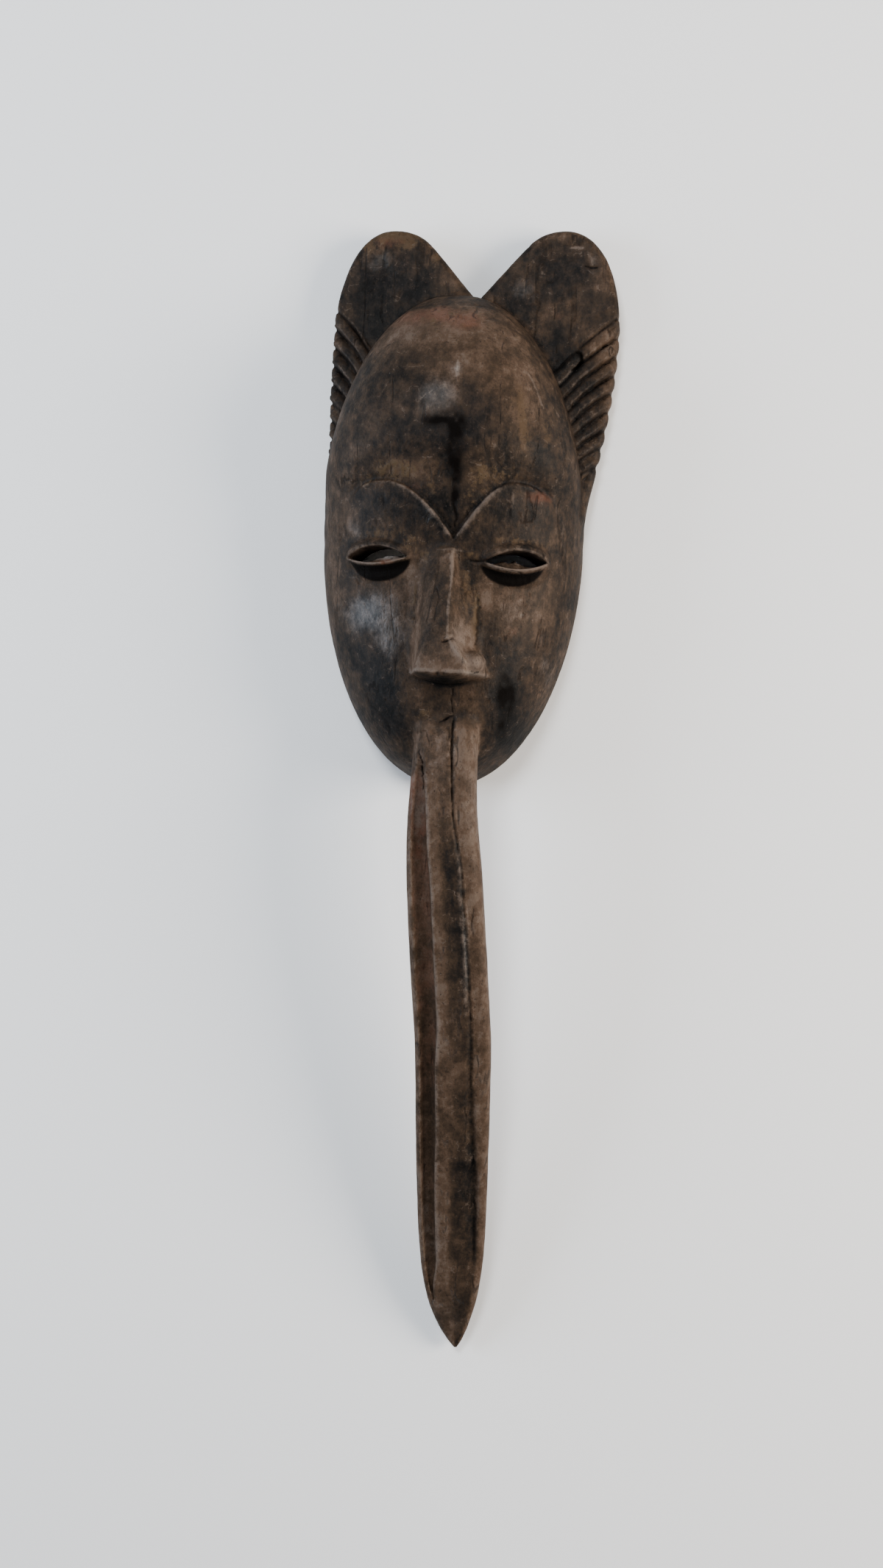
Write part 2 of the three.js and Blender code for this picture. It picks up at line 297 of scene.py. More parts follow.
def inside_outline(points: Array, x: Array, y: Array) -> Array:
    """Whether places lie inside a closed outline.

    Args:
        points: the outline's points, one a row.
        x, y: the places.

    Returns:
        True for each place inside.
    """
    inside = np.zeros(x.shape, bool)
    for a, b in zip(points, np.roll(points, -1, axis=0)):
        crosses = (a[1] > y) != (b[1] > y)
        if abs(b[1] - a[1]) > 1e-9:
            inside ^= crosses & (x < (b[0] - a[0]) * (y - a[1]) / (b[1] - a[1]) + a[0])
    return inside


def noise(x: Array, y: Array, z: Array, seed: int) -> Array:
    """Smooth random waves about one unit across.

    Args:
        x, y, z: the places.
        seed: chooses the waves.

    Returns:
        Values from -1 to 1.
    """

    def corner(i: Array, j: Array, k: Array) -> Array:
        """A random value at a whole place."""
        mix = i.astype(np.uint32) * np.uint32(374761393) + j.astype(np.uint32) * np.uint32(668265263)
        mix = mix + k.astype(np.uint32) * np.uint32(2246822519) + np.uint32(seed * 3266489 + 7)
        mix = (mix ^ (mix >> np.uint32(13))) * np.uint32(1274126177)
        mix = (mix ^ (mix >> np.uint32(15))) * np.uint32(2654435761)
        return (mix >> np.uint32(8)).astype(np.float32) / np.float32(2**23) - 1

    i, j, k = (np.floor(part).astype(np.int64) for part in (x, y, z))
    u, v, w = (part - np.floor(part) for part in (x, y, z))
    u, v, w = (part * part * (3 - 2 * part) for part in (u, v, w))
    total = np.zeros(np.shape(x), np.float32)
    for a, b, c in np.ndindex(2, 2, 2):
        weight = (u if a else 1 - u) * (v if b else 1 - v) * (w if c else 1 - w)
        total += weight.astype(np.float32) * corner(i + a, j + b, k + c)
    return total


def rough(x: Array, y: Array, z: Array, seed: int, octaves: int = 3) -> Array:
    """Waves of several sizes together, from -1 to 1.

    Args:
        x: places across, one unit for the largest waves.
        y: places along.
        z: places up.
        seed: chooses the waves.
        octaves: how many sizes.

    Returns:
        The waves at each place.
    """
    total, strength, full = 0, 1.0, 0.0
    for octave in range(octaves):
        scale = 2.0**octave
        total = total + strength * noise(x * scale, y * scale, z * scale, seed + 31 * octave)
        full += strength
        strength *= 0.5
    return total / full


@dataclass(frozen=True)
class FaceOval:
    """The driving sizes of the face, which the other parts are set out from."""

    middle_x: float = -1.0
    half_width: float = 67.0
    temple_y: float = 125.0
    chin_reach: float = 126.3
    crown_reach: float = 124.0
    arch_power: float = 2.25
    wall: float = 10.0
    hairline_y: float = 160.0
    flange_foot_y: float = 135.0
    plate: float = 15.0

    def half_width_at(self, y: Array) -> Array:
        """Half the width of the face at a height y."""
        reach = np.where(y > self.temple_y, self.crown_reach, self.chin_reach)
        return self.half_width * np.sqrt(np.clip(1 - ((y - self.temple_y) / reach) ** 2, 0, 1))


OVAL = FaceOval()
CORNER = (OVAL.middle_x - OVAL.half_width, BEAK_TIP_Y, 0.0)

CHEEK_HEIGHT = Profile(
    (-1, 5), (1.5, 20), (6, 33), (14, 44), (28, 51), (50, 54.5), (80, 55), (105, 56), (122, 58.6),
    (140, 61.5), (160, 62),
)
FOREHEAD_HEIGHT = Profile(
    (-1, 3), (1.5, 16), (6, 29), (14, 40), (28, 47), (60, 51), (100, 52.5), (118, 55.6), (132, 59.5),
    (148, 62.5), (168, 67.5), (185, 67), (205, 62), (222, 53), (236, 41), (245, 28), (249, 16),
)


def cheek_surface(x: float, y: float) -> float:
    """Height of the cheeks and lids at a place off the middle of the face."""
    across = abs(x) / float(OVAL.half_width_at(np.float32(y)))
    share = (1 - across**OVAL.arch_power) ** (1 / OVAL.arch_power)
    return float(CHEEK_HEIGHT(np.float32(y))) * share


@dataclass
class FaceDome:
    """The arched shell of the face: cheeks and lids below, the bulging forehead above."""

    pad_step: float = 1.7
    pad_edge: float = 0.9
    brow_slope: float = 0.38
    fade_from: float = 44.0
    fade_to: float = 58.0
    brow: Array = field(init=False)

    def __post_init__(self) -> None:
        """Draws the brow line on the sheet, positive above it."""
        right = [
            bezier([(94, 111), (60, 121), (54, 135)]),
            bezier([(54, 135), (49, 145), (42, 147.5), (32.5, 147.3)]),
            bezier([(32.5, 147.3), (22, 146.5), (12, 130), (4.5, 119.8)]),
        ]
        left = [
            bezier([(4.5, 119.8), (-3, 131), (-16, 147.5), (-31.5, 147.8)]),
            bezier([(-31.5, 147.8), (-42, 147.5), (-48, 143), (-51, 135)]),
            bezier([(-51, 135), (-57, 121), (-94, 111)]),
        ]
        line = np.vstack(right + left)
        closed = np.vstack([line, [(-400, 111), (-400, 600), (400, 600), (400, 111)]])
        above = inside_outline(closed, SHEET_X, SHEET_Y)
        off = distance_to_line(line, SHEET_X, SHEET_Y)
        self.brow = np.where(above, off, -off).astype(np.float32)

    def arch(self, height: Profile, inset: float, x: Array, y: Array, z: Array) -> Array:
        """A dome over the face's oval.

        Args:
            height: its height along the middle of the face.
            inset: how far it lies inside the face's own size.
            x, y, z: the places.

        Returns:
            Near distances to it.
        """

        def shape(x: Array, y: Array, z: Array) -> Array:
            """The superellipse of each cross-section."""
            reach = np.where(y > OVAL.temple_y, OVAL.crown_reach, OVAL.chin_reach) - inset
            along = (y - OVAL.temple_y) / reach
            room = np.sqrt(np.maximum(1 - along * along, 4e-3))
            rise = smooth_step(OVAL.flange_foot_y, OVAL.hairline_y, y) * OVAL.plate
            across = np.abs(x - OVAL.middle_x) / ((OVAL.half_width - inset) * room)
            tall = np.maximum(height(y) - inset - rise, 1.5)
            up = np.maximum(z - rise, 0) / tall
            power = OVAL.arch_power
            return (across**power + up**power + 1e-6) ** (1 / power) - 1

        near = as_distance(shape, x, y, z)
        reach = np.where(y > OVAL.temple_y, OVAL.crown_reach, OVAL.chin_reach) - inset
        wide = (x - OVAL.middle_x) / (OVAL.half_width - inset)
        oval = (np.hypot(wide, (y - OVAL.temple_y) / reach) - 1) * (OVAL.half_width - inset)
        return np.maximum(near, oval)

    def distance(self, x: Array, y: Array, z: Array) -> Array:
        """Distances to the outside of the face, with the brow pads standing proud of the forehead."""
        cheeks = self.arch(CHEEK_HEIGHT, 0, x, y, z)
        forehead = self.arch(FOREHEAD_HEIGHT, 0, x, y, z)
        above = SHEET.read(self.brow, x, y)
        fade = smooth_step(self.fade_from, self.fade_to, np.abs(x - 1))
        trench = 0.3 * hump(above, 1.7, 1.5)
        sunk = cheeks + (self.pad_step + trench) * (1 - fade) - self.brow_slope * np.maximum(above, 0)
        forehead = common(forehead, sunk, 3.0)
        rolled = cheeks - 0.4 * (1 - fade) * hump(above, -1.4, 1.6)
        edge = self.pad_edge + 9 * fade
        share = np.clip(0.5 + above / (2 * edge), 0, 1)
        share = share * share * (3 - 2 * share)
        return rolled * (1 - share) + forehead * share

    def rims(self, x: Array, y: Array) -> tuple[Array, Array]:
        """The distance from the brow line, and how pale the pads' rims are along it: partly wear, partly
        painted highlight.
        """
        inner = 0.6 * hump(x, -9, 14) + 0.8 * hump(x, 17, 11)
        worn = np.clip(0.12 + 0.88 * inner, 0, 1) * smooth_step(54, 40, np.abs(x)) * smooth_step(118, 122, y)
        return np.clip(SHEET.read(self.brow, x, y), -8, 8), worn

    def hollow(self, x: Array, y: Array, z: Array) -> Array:
        """Distances to the hollow behind the face."""
        return self.arch(FOREHEAD_HEIGHT, OVAL.wall, x, y, z)


@dataclass
class Crest:
    """The two-lobed plate over the forehead, with flanges that run down to the temples."""

    lobe_top_y: float = 283.0
    lobe_top_x: float = 44.0
    notch_y: float = 246.9
    flange_half: float = 73.6
    flange_foot_half: float = 65.0
    widest_y: float = 228.0
    lean: float = 8.4
    lean_reach: float = 132.0
    edge: float = 3.4
    flange_cut: float = 4.2
    shelf_y: float = 235.0
    shelf_slope: float = 0.9
    outline: Array = field(init=False)

    def __post_init__(self) -> None:
        """Draws the plate's outline on the sheet, negative inside."""
        heights = np.linspace(self.widest_y, 138, 10)[1:]
        flange = np.column_stack([self.flange_at(heights), heights])
        top = (self.lobe_top_x, self.lobe_top_y)
        half = np.vstack([
            [(0, self.notch_y), (23, 273.5)],
            bezier([(23, 273.5), (30.5, 282), (38, 283), top]),
            bezier([top, (62, 283), (72.5, 260), (self.flange_half, self.widest_y)]),
            flange,
            [(52, 112)],
        ])
        closed = np.vstack([half, half[::-1] * (-1, 1)])
        closed[:, 0] += self.lean_at(closed[:, 1])
        inside = inside_outline(closed, SHEET_X, SHEET_Y)
        off = distance_to_line(np.vstack([closed, closed[:1]]), SHEET_X, SHEET_Y)
        self.outline = np.where(inside, -off, off).astype(np.float32)

    def lean_at(self, y: Array) -> Array:
        """How far the middle of the crest has drifted to the right at a height y."""
        along = np.clip((y - OVAL.flange_foot_y) / self.lean_reach, 0, 1)
        return self.lean * (1 - (1 - along) ** 1.6)

    def flange_at(self, y: Array) -> Array:
        """Half the width of the flanges at a height y."""
        along = np.clip((y - OVAL.flange_foot_y) / (self.widest_y - OVAL.flange_foot_y), 0, 1)
        spread = self.flange_half - self.flange_foot_half
        return self.flange_foot_half + spread * np.sin(along * math.pi / 2)

    def distance(self, x: Array, y: Array, z: Array) -> Array:
        """Distances to the plate, with its edges rounded by wear and its lobes a little dished."""
        off = SHEET.read(self.outline, x, y) + self.edge
        dish = 0.9 * smooth_step(0, 18, -off) * smooth_step(225, 245, y)
        side = np.abs(x - self.lean_at(y))
        shelf_top = self.shelf_y + self.shelf_slope * (side - self.flange_half)
        under_shelf = 1 - smooth_step(shelf_top - 3, shelf_top + 3, y)
        flange = self.flange_cut * under_shelf * smooth_step(136, 165, y)
        middle = (OVAL.plate - dish - flange) / 2
        up = np.abs(z - middle) - middle + self.edge
        outside = np.hypot(np.maximum(off, 0), np.maximum(up, 0))
        return outside + np.minimum(np.maximum(off, up), 0) - self.edge


@dataclass
class Eye:
    """A swollen almond-shaped eye with lids round a slit that goes right through."""

    x: float
    y: float
    rise_up: float = 5.3
    rise_down: float = 3.0
    swing: float = 0.0
    slit_half: float = 15.9
    bulge: Triple = (19.0, 12.5, 9.0)
    sink: float = 4.5
    tilt: float = 0.33
    ledge: float = 1.5
    ledge_at: float = 4.0
    rim: float = 0.7
    crease: tuple[float, float] = (19.5, 9.6)
    shadow: tuple[float, float] = (16.8, 12.2)

    def local(self, x: Array, y: Array, z: Array) -> tuple[Array, Array, Array]:
        """Places as seen from the eye: along its slit, across it, and out of the face."""
        turn = math.copysign(self.tilt, self.x)
        side, up, out = x - self.x, y - self.y, z - cheek_surface(self.x, self.y)
        along = side * math.cos(turn) - out * math.sin(turn)
        proud = side * math.sin(turn) + out * math.cos(turn)
        swung = along * math.cos(self.swing) + up * math.sin(self.swing)
        across = up * math.cos(self.swing) - along * math.sin(self.swing)
        return swung, across, proud

    def box(self, wide: float, tall: float, low: float, high: float) -> tuple[float, ...]:
        """A box round the eye, by its reach to both sides, up and down, and its two heights."""
        return self.x - wide, self.x + wide, self.y - tall, self.y + tall, low, high

    def slit_edge(self, along: Array, across: Array) -> Array:
        """Distance from the rim of the slit, negative inside it.

        Args:
            along, across: places as local gives them.

        Returns:
            The distances.
        """
        rise = np.where(across > 0, self.rise_up, self.rise_down)
        arc = rise * (1 - (along / self.slit_half) ** 2)
        slope = 2 * rise * along / self.slit_half**2
        return (np.abs(across) - arc) / np.sqrt(1 + slope**2)

    def ball(self, x: Array, y: Array, z: Array) -> Array:
        """Distances to the swelling, with a heavy upper lid and a thin lower rim."""
        along, across, proud = self.local(x, y, z)
        a, b, c = self.bulge
        deep = proud + self.sink
        near = np.sqrt((along / a) ** 2 + (across / b) ** 2 + (deep / c) ** 2)
        slope = np.sqrt((along / a**2) ** 2 + (across / b**2) ** 2 + (deep / c**2) ** 2)
        bulge = near * (near - 1) / np.maximum(slope, 1e-4)
        edge = self.slit_edge(along, across)
        ends = 1 - smooth_step(0.85, 1.2, np.abs(along) / self.slit_half)
        upper = 1.15 * hump(edge, 1.9, 2.0)
        lower = 0.9 * hump(edge, 0.4, 0.8) - 1.7 * hump(edge, 4.0, 2.3)
        lip = np.where(across > 0, upper, lower) * ends
        half, rise = self.crease
        arc = across - rise * np.sqrt(np.clip(1 - (along / half) ** 2, 0, 1))
        crease = 0.55 * hump(arc, 0, 0.9) * (1 - smooth_step(0.6, 0.95, np.abs(along) / half))
        return bulge - lip + crease

    def slit(self, x: Array, y: Array, z: Array) -> Array:
        """Distances to the slit's cutter, which goes right through the wall."""
        along, across, proud = self.local(x, y, z)
        deep = np.maximum(-proud - 0.5, 0)
        ledge = self.ledge * hump(along, self.ledge_at, 8)
        slope = self.slit_edge(along, across) + np.where(across < 0, ledge * np.minimum(deep, 3), 0)
        return np.maximum(slope, np.abs(proud) - 26)

    def lids(self, x: Array, y: Array, z: Array) -> tuple[Array, Array, Array]:
        """How deep places lie in the painted shade under the lower lid, partly soot, and how the rims of the
        slit are worn.

        Args:
            x, y, z: the places.

        Returns:
            The depth in the painted shade, the distance from the slit in widths of its rim, and the rim's
            wear, which is also painted as a highlight.
        """
        along, across, proud = self.local(x, y, z)
        edge = self.slit_edge(along, across)
        near = (np.abs(along) < 21) & (np.abs(across) < 15) & (proud > -9)
        reach = np.hypot((along + 1.5 * np.sign(self.x)) / self.shadow[0], across / self.shadow[1])
        # Painted shade, partly soot, in an ellipse under the slit's lower rim.
        shade = np.minimum((1.0 - reach) * 12, np.minimum(edge - 1.4 * self.rim, -0.6 - across))
        ends = 1 - smooth_step(0.8, 1.08, np.abs(along) / self.slit_half)
        # How pale the slit's rims are painted: partly wear, partly painted highlight, strongest on the lower
        # rim.
        worn = (1.0 - 0.5 * smooth_step(0, 1.2, across)) * ends
        rim = np.clip(edge / self.rim, -8, 8)
        return np.where(near, np.maximum(shade, -5), -5), rim, np.where(near, worn, 0)


@dataclass
class Nose:
    """The long nose: a dark front between a soft left facet and a bright right one, and a round wing."""

    top_y: float = 114.5
    tip_y: float = 53.2
    tip_z: float = 76.5
    base_z: float = 46.0
    undercut: float = 6.0
    wing_share: float = 0.42
    facet_fall: float = 1.5
    wing: Triple = (16.4, 58.6, 61.0)
    wing_size: Triple = (6.3, 6.0, 10.0)

    def __post_init__(self) -> None:
        """Sets out the profiles down the nose."""
        self.ridge_x = Profile(
            (45, 14.4), (self.tip_y, 14.0), (58, 13.6), (63.5, 11.6), (67.5, 8.8), (70, 6.4), (74, 5.4),
            (83, 5.7), (98, 5.5), (114, 4.5), (122, 4.3))
        self.left_x = Profile(
            (45, -11.4), (self.tip_y, -10.8), (60, -8.6), (66, -6.4), (72, -5.3), (98, -5.5), (113, -4.6),
            (122, -3))
        self.base_left = Profile(
            (45, -13.0), (self.tip_y, -13.2), (63, -13.8), (76, -13.6), (88, -12.5), (98, -12.2),
            (104, -11.2), (110, -9.3), (118, -6.5))
        self.base_right = Profile(
            (45, 20.0), (self.tip_y, 20.4), (60, 18.4), (65, 16.6), (70, 16.4), (86, 16.4), (95, 15.4),
            (101, 14.4), (107, 12.6), (113, 9.8), (118, 8))
        self.front_z = Profile(
            (45, 76.7), (self.tip_y, self.tip_z), (66, 75.2), (76, 72.2), (98, 64.6), (108, 61.6),
            (115, 59.6), (122, 58))

    def distance(self, x: Array, y: Array, z: Array) -> Array:
        """Distances to the nose, from its facets and its wing."""
        top = self.front_z(y)
        ridge, left = self.ridge_x(y), self.left_x(y)
        wing_z = self.base_z + (top - self.base_z) * self.wing_share
        fall = np.clip((ridge - x) / np.maximum(ridge - left, 1), -0.4, 1.4)
        crown = np.sin(np.clip(fall, 0, 1) * math.pi)
        front = (z - top + self.facet_fall * fall - 0.7 * crown) * 0.93
        tall = np.maximum(top - wing_z, 2)

        def flank(edge: Array, foot: Array, hollow: float) -> Array:
            """How far a side facet reaches at a height, hollowed between its edge and its foot."""
            run = np.maximum(foot - edge, 1.0)
            share = np.clip((top - z) / tall, 0, 1.6)
            return edge + run * share - hollow * np.sin(np.clip(share, 0, 1) * math.pi)

        right = (x - flank(ridge, self.base_right(y), 1.6)) * 0.8
        side = (-x - flank(-left, -self.base_left(y), 0.3)) * 0.8
        body = common(common(front, right, 0.9), side, 3.0)
        ball = np.sqrt(sum(((place - middle) / size) ** 2
                           for place, middle, size in zip((x, y, z), self.wing, self.wing_size)))
        body = joined(body, (ball - 1) * min(self.wing_size), 2.6)
        body = common(body, (y - self.top_y) * 0.8, 3.0)
        inner = np.maximum(-body, 0)
        under = self.tip_y - self.undercut * (1 - np.exp(-inner / 9)) - y
        return common(body, under * 0.97, 0.5)


@dataclass
class Beak:
    """The long beak: a rib between a broad channel on its left and a narrow groove on its right."""

    root_y: float = 40.0
    tip_y: float = BEAK_TIP_Y

    def __post_init__(self) -> None:
        """Sets out the profiles down the beak; places across are shares of its half-width."""
        self.middle = Profile(
            (self.tip_y, 14.7), (-270, 12.9), (-228, 12.1), (-136, 11.5), (-92, 8.7), (-48, 5.5),
            (-10, 3.3), (self.root_y, 3.6))
        self.half = Profile(
            (self.tip_y, 0.8), (-284, 4), (-276, 8), (-260, 13), (-244, 15.6), (-220, 17.2), (-160, 18.5),
            (-100, 19), (-48, 18.6), (-5, 16.4), (self.root_y, 15))
        self.top = Profile(
            (self.tip_y, 7.5), (-262, 16), (-235, 23), (-190, 35.5), (-137, 48), (-90, 56.5), (-48, 61.5),
            (-20, 62.6), (0, 61.6), (14, 58.6), (26, 55.2), (self.root_y, 49))
        self.depth = Profile(
            (self.tip_y, 4), (-270, 9), (-235, 13), (-190, 17.5), (-137, 22), (-48, 25), (0, 26),
            (self.root_y, 24))
        self.channel_left = Profile((-270, -0.70), (-246, -0.85), (-100, -0.87), (0, -0.87), (26, -0.84))
        self.channel_right = Profile(
            (-270, -0.74), (-258, -0.68), (-240, -0.46), (-204, -0.46), (-173, -0.42), (-143, -0.43),
            (-113, -0.34), (-84, -0.33), (-55, -0.32), (-34, -0.37), (-16, -0.41), (8, -0.56), (26, -0.7))
        self.channel_deep = Profile(
            (-270, 0), (-258, 2.6), (-240, 4.2), (-150, 5.8), (-20, 5.6), (4, 3.4), (20, 0.8), (27, 0.2))
        self.groove_at = Profile(
            (-250, 0.75), (-230, 0.71), (-200, 0.66), (-170, 0.55), (-140, 0.49), (-100, 0.53),
            (-48, 0.505), (-20, 0.38), (0, 0.30), (20, 0.25), (self.root_y, 0.22))
        self.groove_half = Profile(
            (-250, 0.02), (-225, 0.05), (-200, 0.065), (-165, 0.06), (-135, 0.045), (-60, 0.032),
            (self.root_y, 0.034))
        self.groove_deep = Profile(
            (-250, 0), (-235, 2.2), (-200, 3.4), (-140, 2.6), (-100, 2.0), (-60, 1.5), (-24, 1.7),
            (-8, 2.8), (20, 3.8), (32, 2.8), (self.root_y, 1))
        self.strip_fall = Profile((-250, 0), (-220, 2.4), (-100, 3.2), (-40, 2.2), (0, 1.0), (30, 0.4))
        self.valley_at = Profile((-96, 0.34), (-70, 0.26), (-40, 0.08), (-15, 0.10))
        self.valley_deep = Profile((-104, 0), (-88, 1.1), (-40, 1.2), (-8, 0))
        self.groove_left = Profile((-240, 4.0), (-200, 3.4), (-160, 2.0), (-120, 1.0))
        self.rib_dust = Profile(
            (-262, 0.7), (-235, 1.0), (-204, 0.95), (-173, 0.5), (-143, 0.7), (-118, 1.0), (-84, 0.8),
            (-56, 0.95), (-34, 0.9), (0, 0.6), (30, 0.4))
        self.rib_soot = Profile(
            (-262, 0.4), (-235, 0.0), (-204, 0.6), (-173, 0.2), (-143, 0.1), (-113, 0.1), (-84, 0.3),
            (-56, 0.3), (-30, 0))
        self.channel_dust = Profile(
            (-240, 1.0), (-205, 1.0), (-172, 0.75), (-144, 0.6), (-115, 0.7), (-60, 1.0), (10, 1.0))

    def share(self, x: Array, y: Array) -> Array:
        """Places across, as shares of the beak's half-width."""
        return (x - self.middle(y)) / np.maximum(self.half(y), 0.5)

    def relief(self, x: Array, y: Array) -> Array:
        """How far the top lies under its plain curve, in the channel, groove, valley and strip."""
        share = self.share(x, y)

        def furrow(left: Array, right: Array, deep: Array, bank: float) -> Array:
            """A furrow with steep banks and a round floor."""
            wide = np.maximum(right - left, 0.02)
            off = (share - (left + right) / 2) / (wide / 2)
            shape = np.clip(1 - np.abs(off) ** bank, 0, 1) ** 0.6
            return deep * shape

        channel = furrow(self.channel_left(y), self.channel_right(y), self.channel_deep(y), 3.2)
        flat = y * 0
        stray = 0.01 + 0.03 * smooth_step(-40, 0, y)
        middle = self.groove_at(y) + stray * rough(y / 9, flat, flat, 4, 3)
        half = self.groove_half(y) * (1 + 0.3 * noise(y / 4, flat, flat, 6))
        half = np.where(share < middle, half * self.groove_left(y), half)
        groove = self.groove_deep(y) * hump(share, middle, half)
        past = share - middle
        strip = self.strip_fall(y) * smooth_step(0, 0.09, past) * (0.6 + 0.8 * np.clip(past, 0, 1))
        valley = self.valley_deep(y) * hump(share, self.valley_at(y), 0.13)
        crown = 0.9 * (1 - np.clip((share - 0.02) / 0.42, -1, 1) ** 2) * smooth_step(-285, -240, y)
        return channel + groove + strip + valley - crown

    def distance(self, x: Array, y: Array, z: Array) -> Array:
        """Distances to the beak."""

        def shape(x: Array, y: Array, z: Array) -> Array:
            """The rounded cross-section, widest above its middle."""
            deep = self.depth(y)
            across = np.abs(x - self.middle(y)) / np.maximum(self.half(y), 0.5)
            off = z - (self.top(y) - 0.4 * deep)
            up = np.where(off > 0, off / (0.4 * deep), -off / (0.6 * deep))
            return (across**3.0 + up**3.0 + 1e-6) ** (1 / 3.0) - 1

        body = as_distance(shape, x, y, z)
        ends = np.maximum(self.tip_y - y, y - self.root_y - 4)
        crown = (z - self.top(y) + self.relief(x, y)) * 0.93
        return np.maximum(common(body, crown, 0.7), ends)

    def strip(self, x: Array, y: Array) -> Array:
        """Cover of the strip on the right of the groove."""
        return smooth_step(0.02, 0.10, self.share(x, y) - self.groove_at(y)) * smooth_step(36, 26, y)

    def channel(self, x: Array, y: Array) -> Array:
        """Cover of the channel's floor."""
        share = self.share(x, y)
        left, right = share - self.channel_left(y), self.channel_right(y) - share
        inside = smooth_step(0, 0.06, left) * smooth_step(0, 0.06, right)
        return inside * smooth_step(24, 8, y) * smooth_step(-268, -255, y)

    def rib(self, x: Array, y: Array) -> tuple[Array, Array]:
        """Cover of dust on the rib's left half and of soot on its right half."""
        share = self.share(x, y)
        right = smooth_step(-0.05, 0.22, share) * smooth_step(0.04, -0.04, share - self.groove_at(y))
        return smooth_step(0.14, -0.14, share) * self.rib_dust(y), right * self.rib_soot(y)

    def along(self, shares: Profile, heights: Array) -> Route:
        """A line down the beak at shares of its half-width."""
        across = self.middle(heights) + shares(heights) * self.half(heights)
        return [(float(x), float(y)) for x, y in zip(across, heights)]


class Tree:
    """A node tree under construction, with short names for its steps."""

    tree: bpy.types.NodeTree

    def feed(self, socket: Socket, value: object) -> None:
        """Links or sets an input.

        Args:
            socket: the input.
            value: a socket to link, or a value to set.
        """
        if isinstance(value, Socket):
            self.tree.links.new(value, socket)
        elif socket.type == "RGBA":
            socket.default_value = (*value, 1.0)
        else:
            socket.default_value = value

    def node(self, kind: str, inputs: dict | None = None, **settings: object) -> bpy.types.Node:
        """Adds a node, sets it up and feeds it.

        Args:
            kind: the node's type, without its first words for one of geometry.
            inputs: sockets or values for its inputs, by name or number.
            settings: its other settings.

        Returns:
            The node.
        """
        known = kind if kind.startswith(("Shader", "Function")) else "GeometryNode" + kind
        made = self.tree.nodes.new(known)
        for key, value in settings.items():
            setattr(made, key, value)
        for key, value in (inputs or {}).items():
            self.feed(made.inputs[key], value)
        return made

    def math(self, operation: str, *values: float | Socket) -> Socket:
        """One sum, product or other step on numbers."""
        return self.node("ShaderNodeMath", dict(enumerate(values)), operation=operation).outputs[0]

    def times(self, first: float | Socket, *others: float | Socket) -> Socket:
        """The product of several numbers."""
        for other in others:
            first = self.math("MULTIPLY", first, other)
        return first


@dataclass
class Sweep(Tree):
    """A Geometry Nodes tree under construction."""

    name: str

    def __post_init__(self) -> None:
        """Makes an empty tree that takes and gives geometry."""
        self.tree = bpy.data.node_groups.new(self.name, "GeometryNodeTree")
        for way in ("INPUT", "OUTPUT"):
            self.tree.interface.new_socket("Geometry", in_out=way, socket_type="NodeSocketGeometry")
        self.sizes: dict[str, float] = {}
        self.entry = self.tree.nodes.new("NodeGroupInput")

    def size(self, name: str, value: float | int) -> Socket:
        """Adds a named input.

        Args:
            name: what the size is called.
            value: its value, whole for a count or a seed.

        Returns:
            The socket that gives it inside the tree.
        """
        kind = "NodeSocketInt" if isinstance(value, int) else "NodeSocketFloat"
        item = self.tree.interface.new_socket(name, in_out="INPUT", socket_type=kind)
        item.default_value = value
        self.sizes[item.identifier] = value
        return self.entry.outputs[name]

    def stored(self, name: str, kind: str = "FLOAT") -> Socket:
        """A value stored on the geometry."""
        return self.node("InputNamedAttribute", {"Name": name}, data_type=kind).outputs[0]

    def vector(self, operation: str, *values: object) -> Socket:
        """One step on vectors, which gives a vector."""
        inputs = {(3 if operation == "SCALE" and i == 1 else i): v for i, v in enumerate(values)}
        return self.node("ShaderNodeVectorMath", inputs, operation=operation).outputs[0]

    def finish(self, geometry: Socket, material: Material) -> None:
        """Ends the tree in Realize Instances and Set Material.

        Args:
            geometry: what the tree has made.
            material: what it is dressed in.
        """
        real = self.node("RealizeInstances", {0: geometry})
        dressed = self.node("SetMaterial", {"Geometry": real.outputs[0], "Material": material})
        out = self.tree.nodes.new("NodeGroupOutput")
        self.tree.links.new(dressed.outputs[0], out.inputs[0])

    def applied(self, carrier: Object) -> Mesh:
        """Runs the tree on an object and gives the result as a plain mesh.

        Args:
            carrier: the object; its modifier is removed again.

        Returns:
            The new mesh.
        """
        modifier = carrier.modifiers.new(self.name, "NODES")
        modifier.node_group = self.tree
        for identifier, value in self.sizes.items():
            modifier[identifier] = value
        mesh = evaluated_mesh(carrier)
        carrier.modifiers.remove(modifier)
        return mesh


def evaluated_mesh(carrier: Object) -> Mesh:
    """The mesh of an object with its modifiers applied, as a mesh of its own."""
    bpy.context.view_layer.update()
    ready = carrier.evaluated_get(bpy.context.evaluated_depsgraph_get())
    return bpy.data.meshes.new_from_object(ready)


def new_object(name: str, data: bpy.types.ID) -> Object:
    """Links a mesh, a lamp or a camera to the scene as an object."""
    made = bpy.data.objects.new(name, data)
    bpy.context.scene.collection.objects.link(made)
    return made


def mesh_of(name: str, points: Array, faces: Array) -> Mesh:
    """A mesh from arrays, all faces with the same number of corners.

    Args:
        name: the mesh's name.
        points: one place a row.
        faces: one face a row, as numbers of its points.

    Returns:
        The mesh.
    """
    mesh = bpy.data.meshes.new(name)
    count, corners = faces.shape
    mesh.vertices.add(len(points))
    mesh.vertices.foreach_set("co", points.astype(np.float32).ravel())
    mesh.loops.add(count * corners)
    mesh.loops.foreach_set("vertex_index", faces.astype(np.int32).ravel())
    mesh.polygons.add(count)
    mesh.polygons.foreach_set("loop_start", np.arange(0, count * corners, corners, dtype=np.int32))
    mesh.update(calc_edges=True)
    return mesh


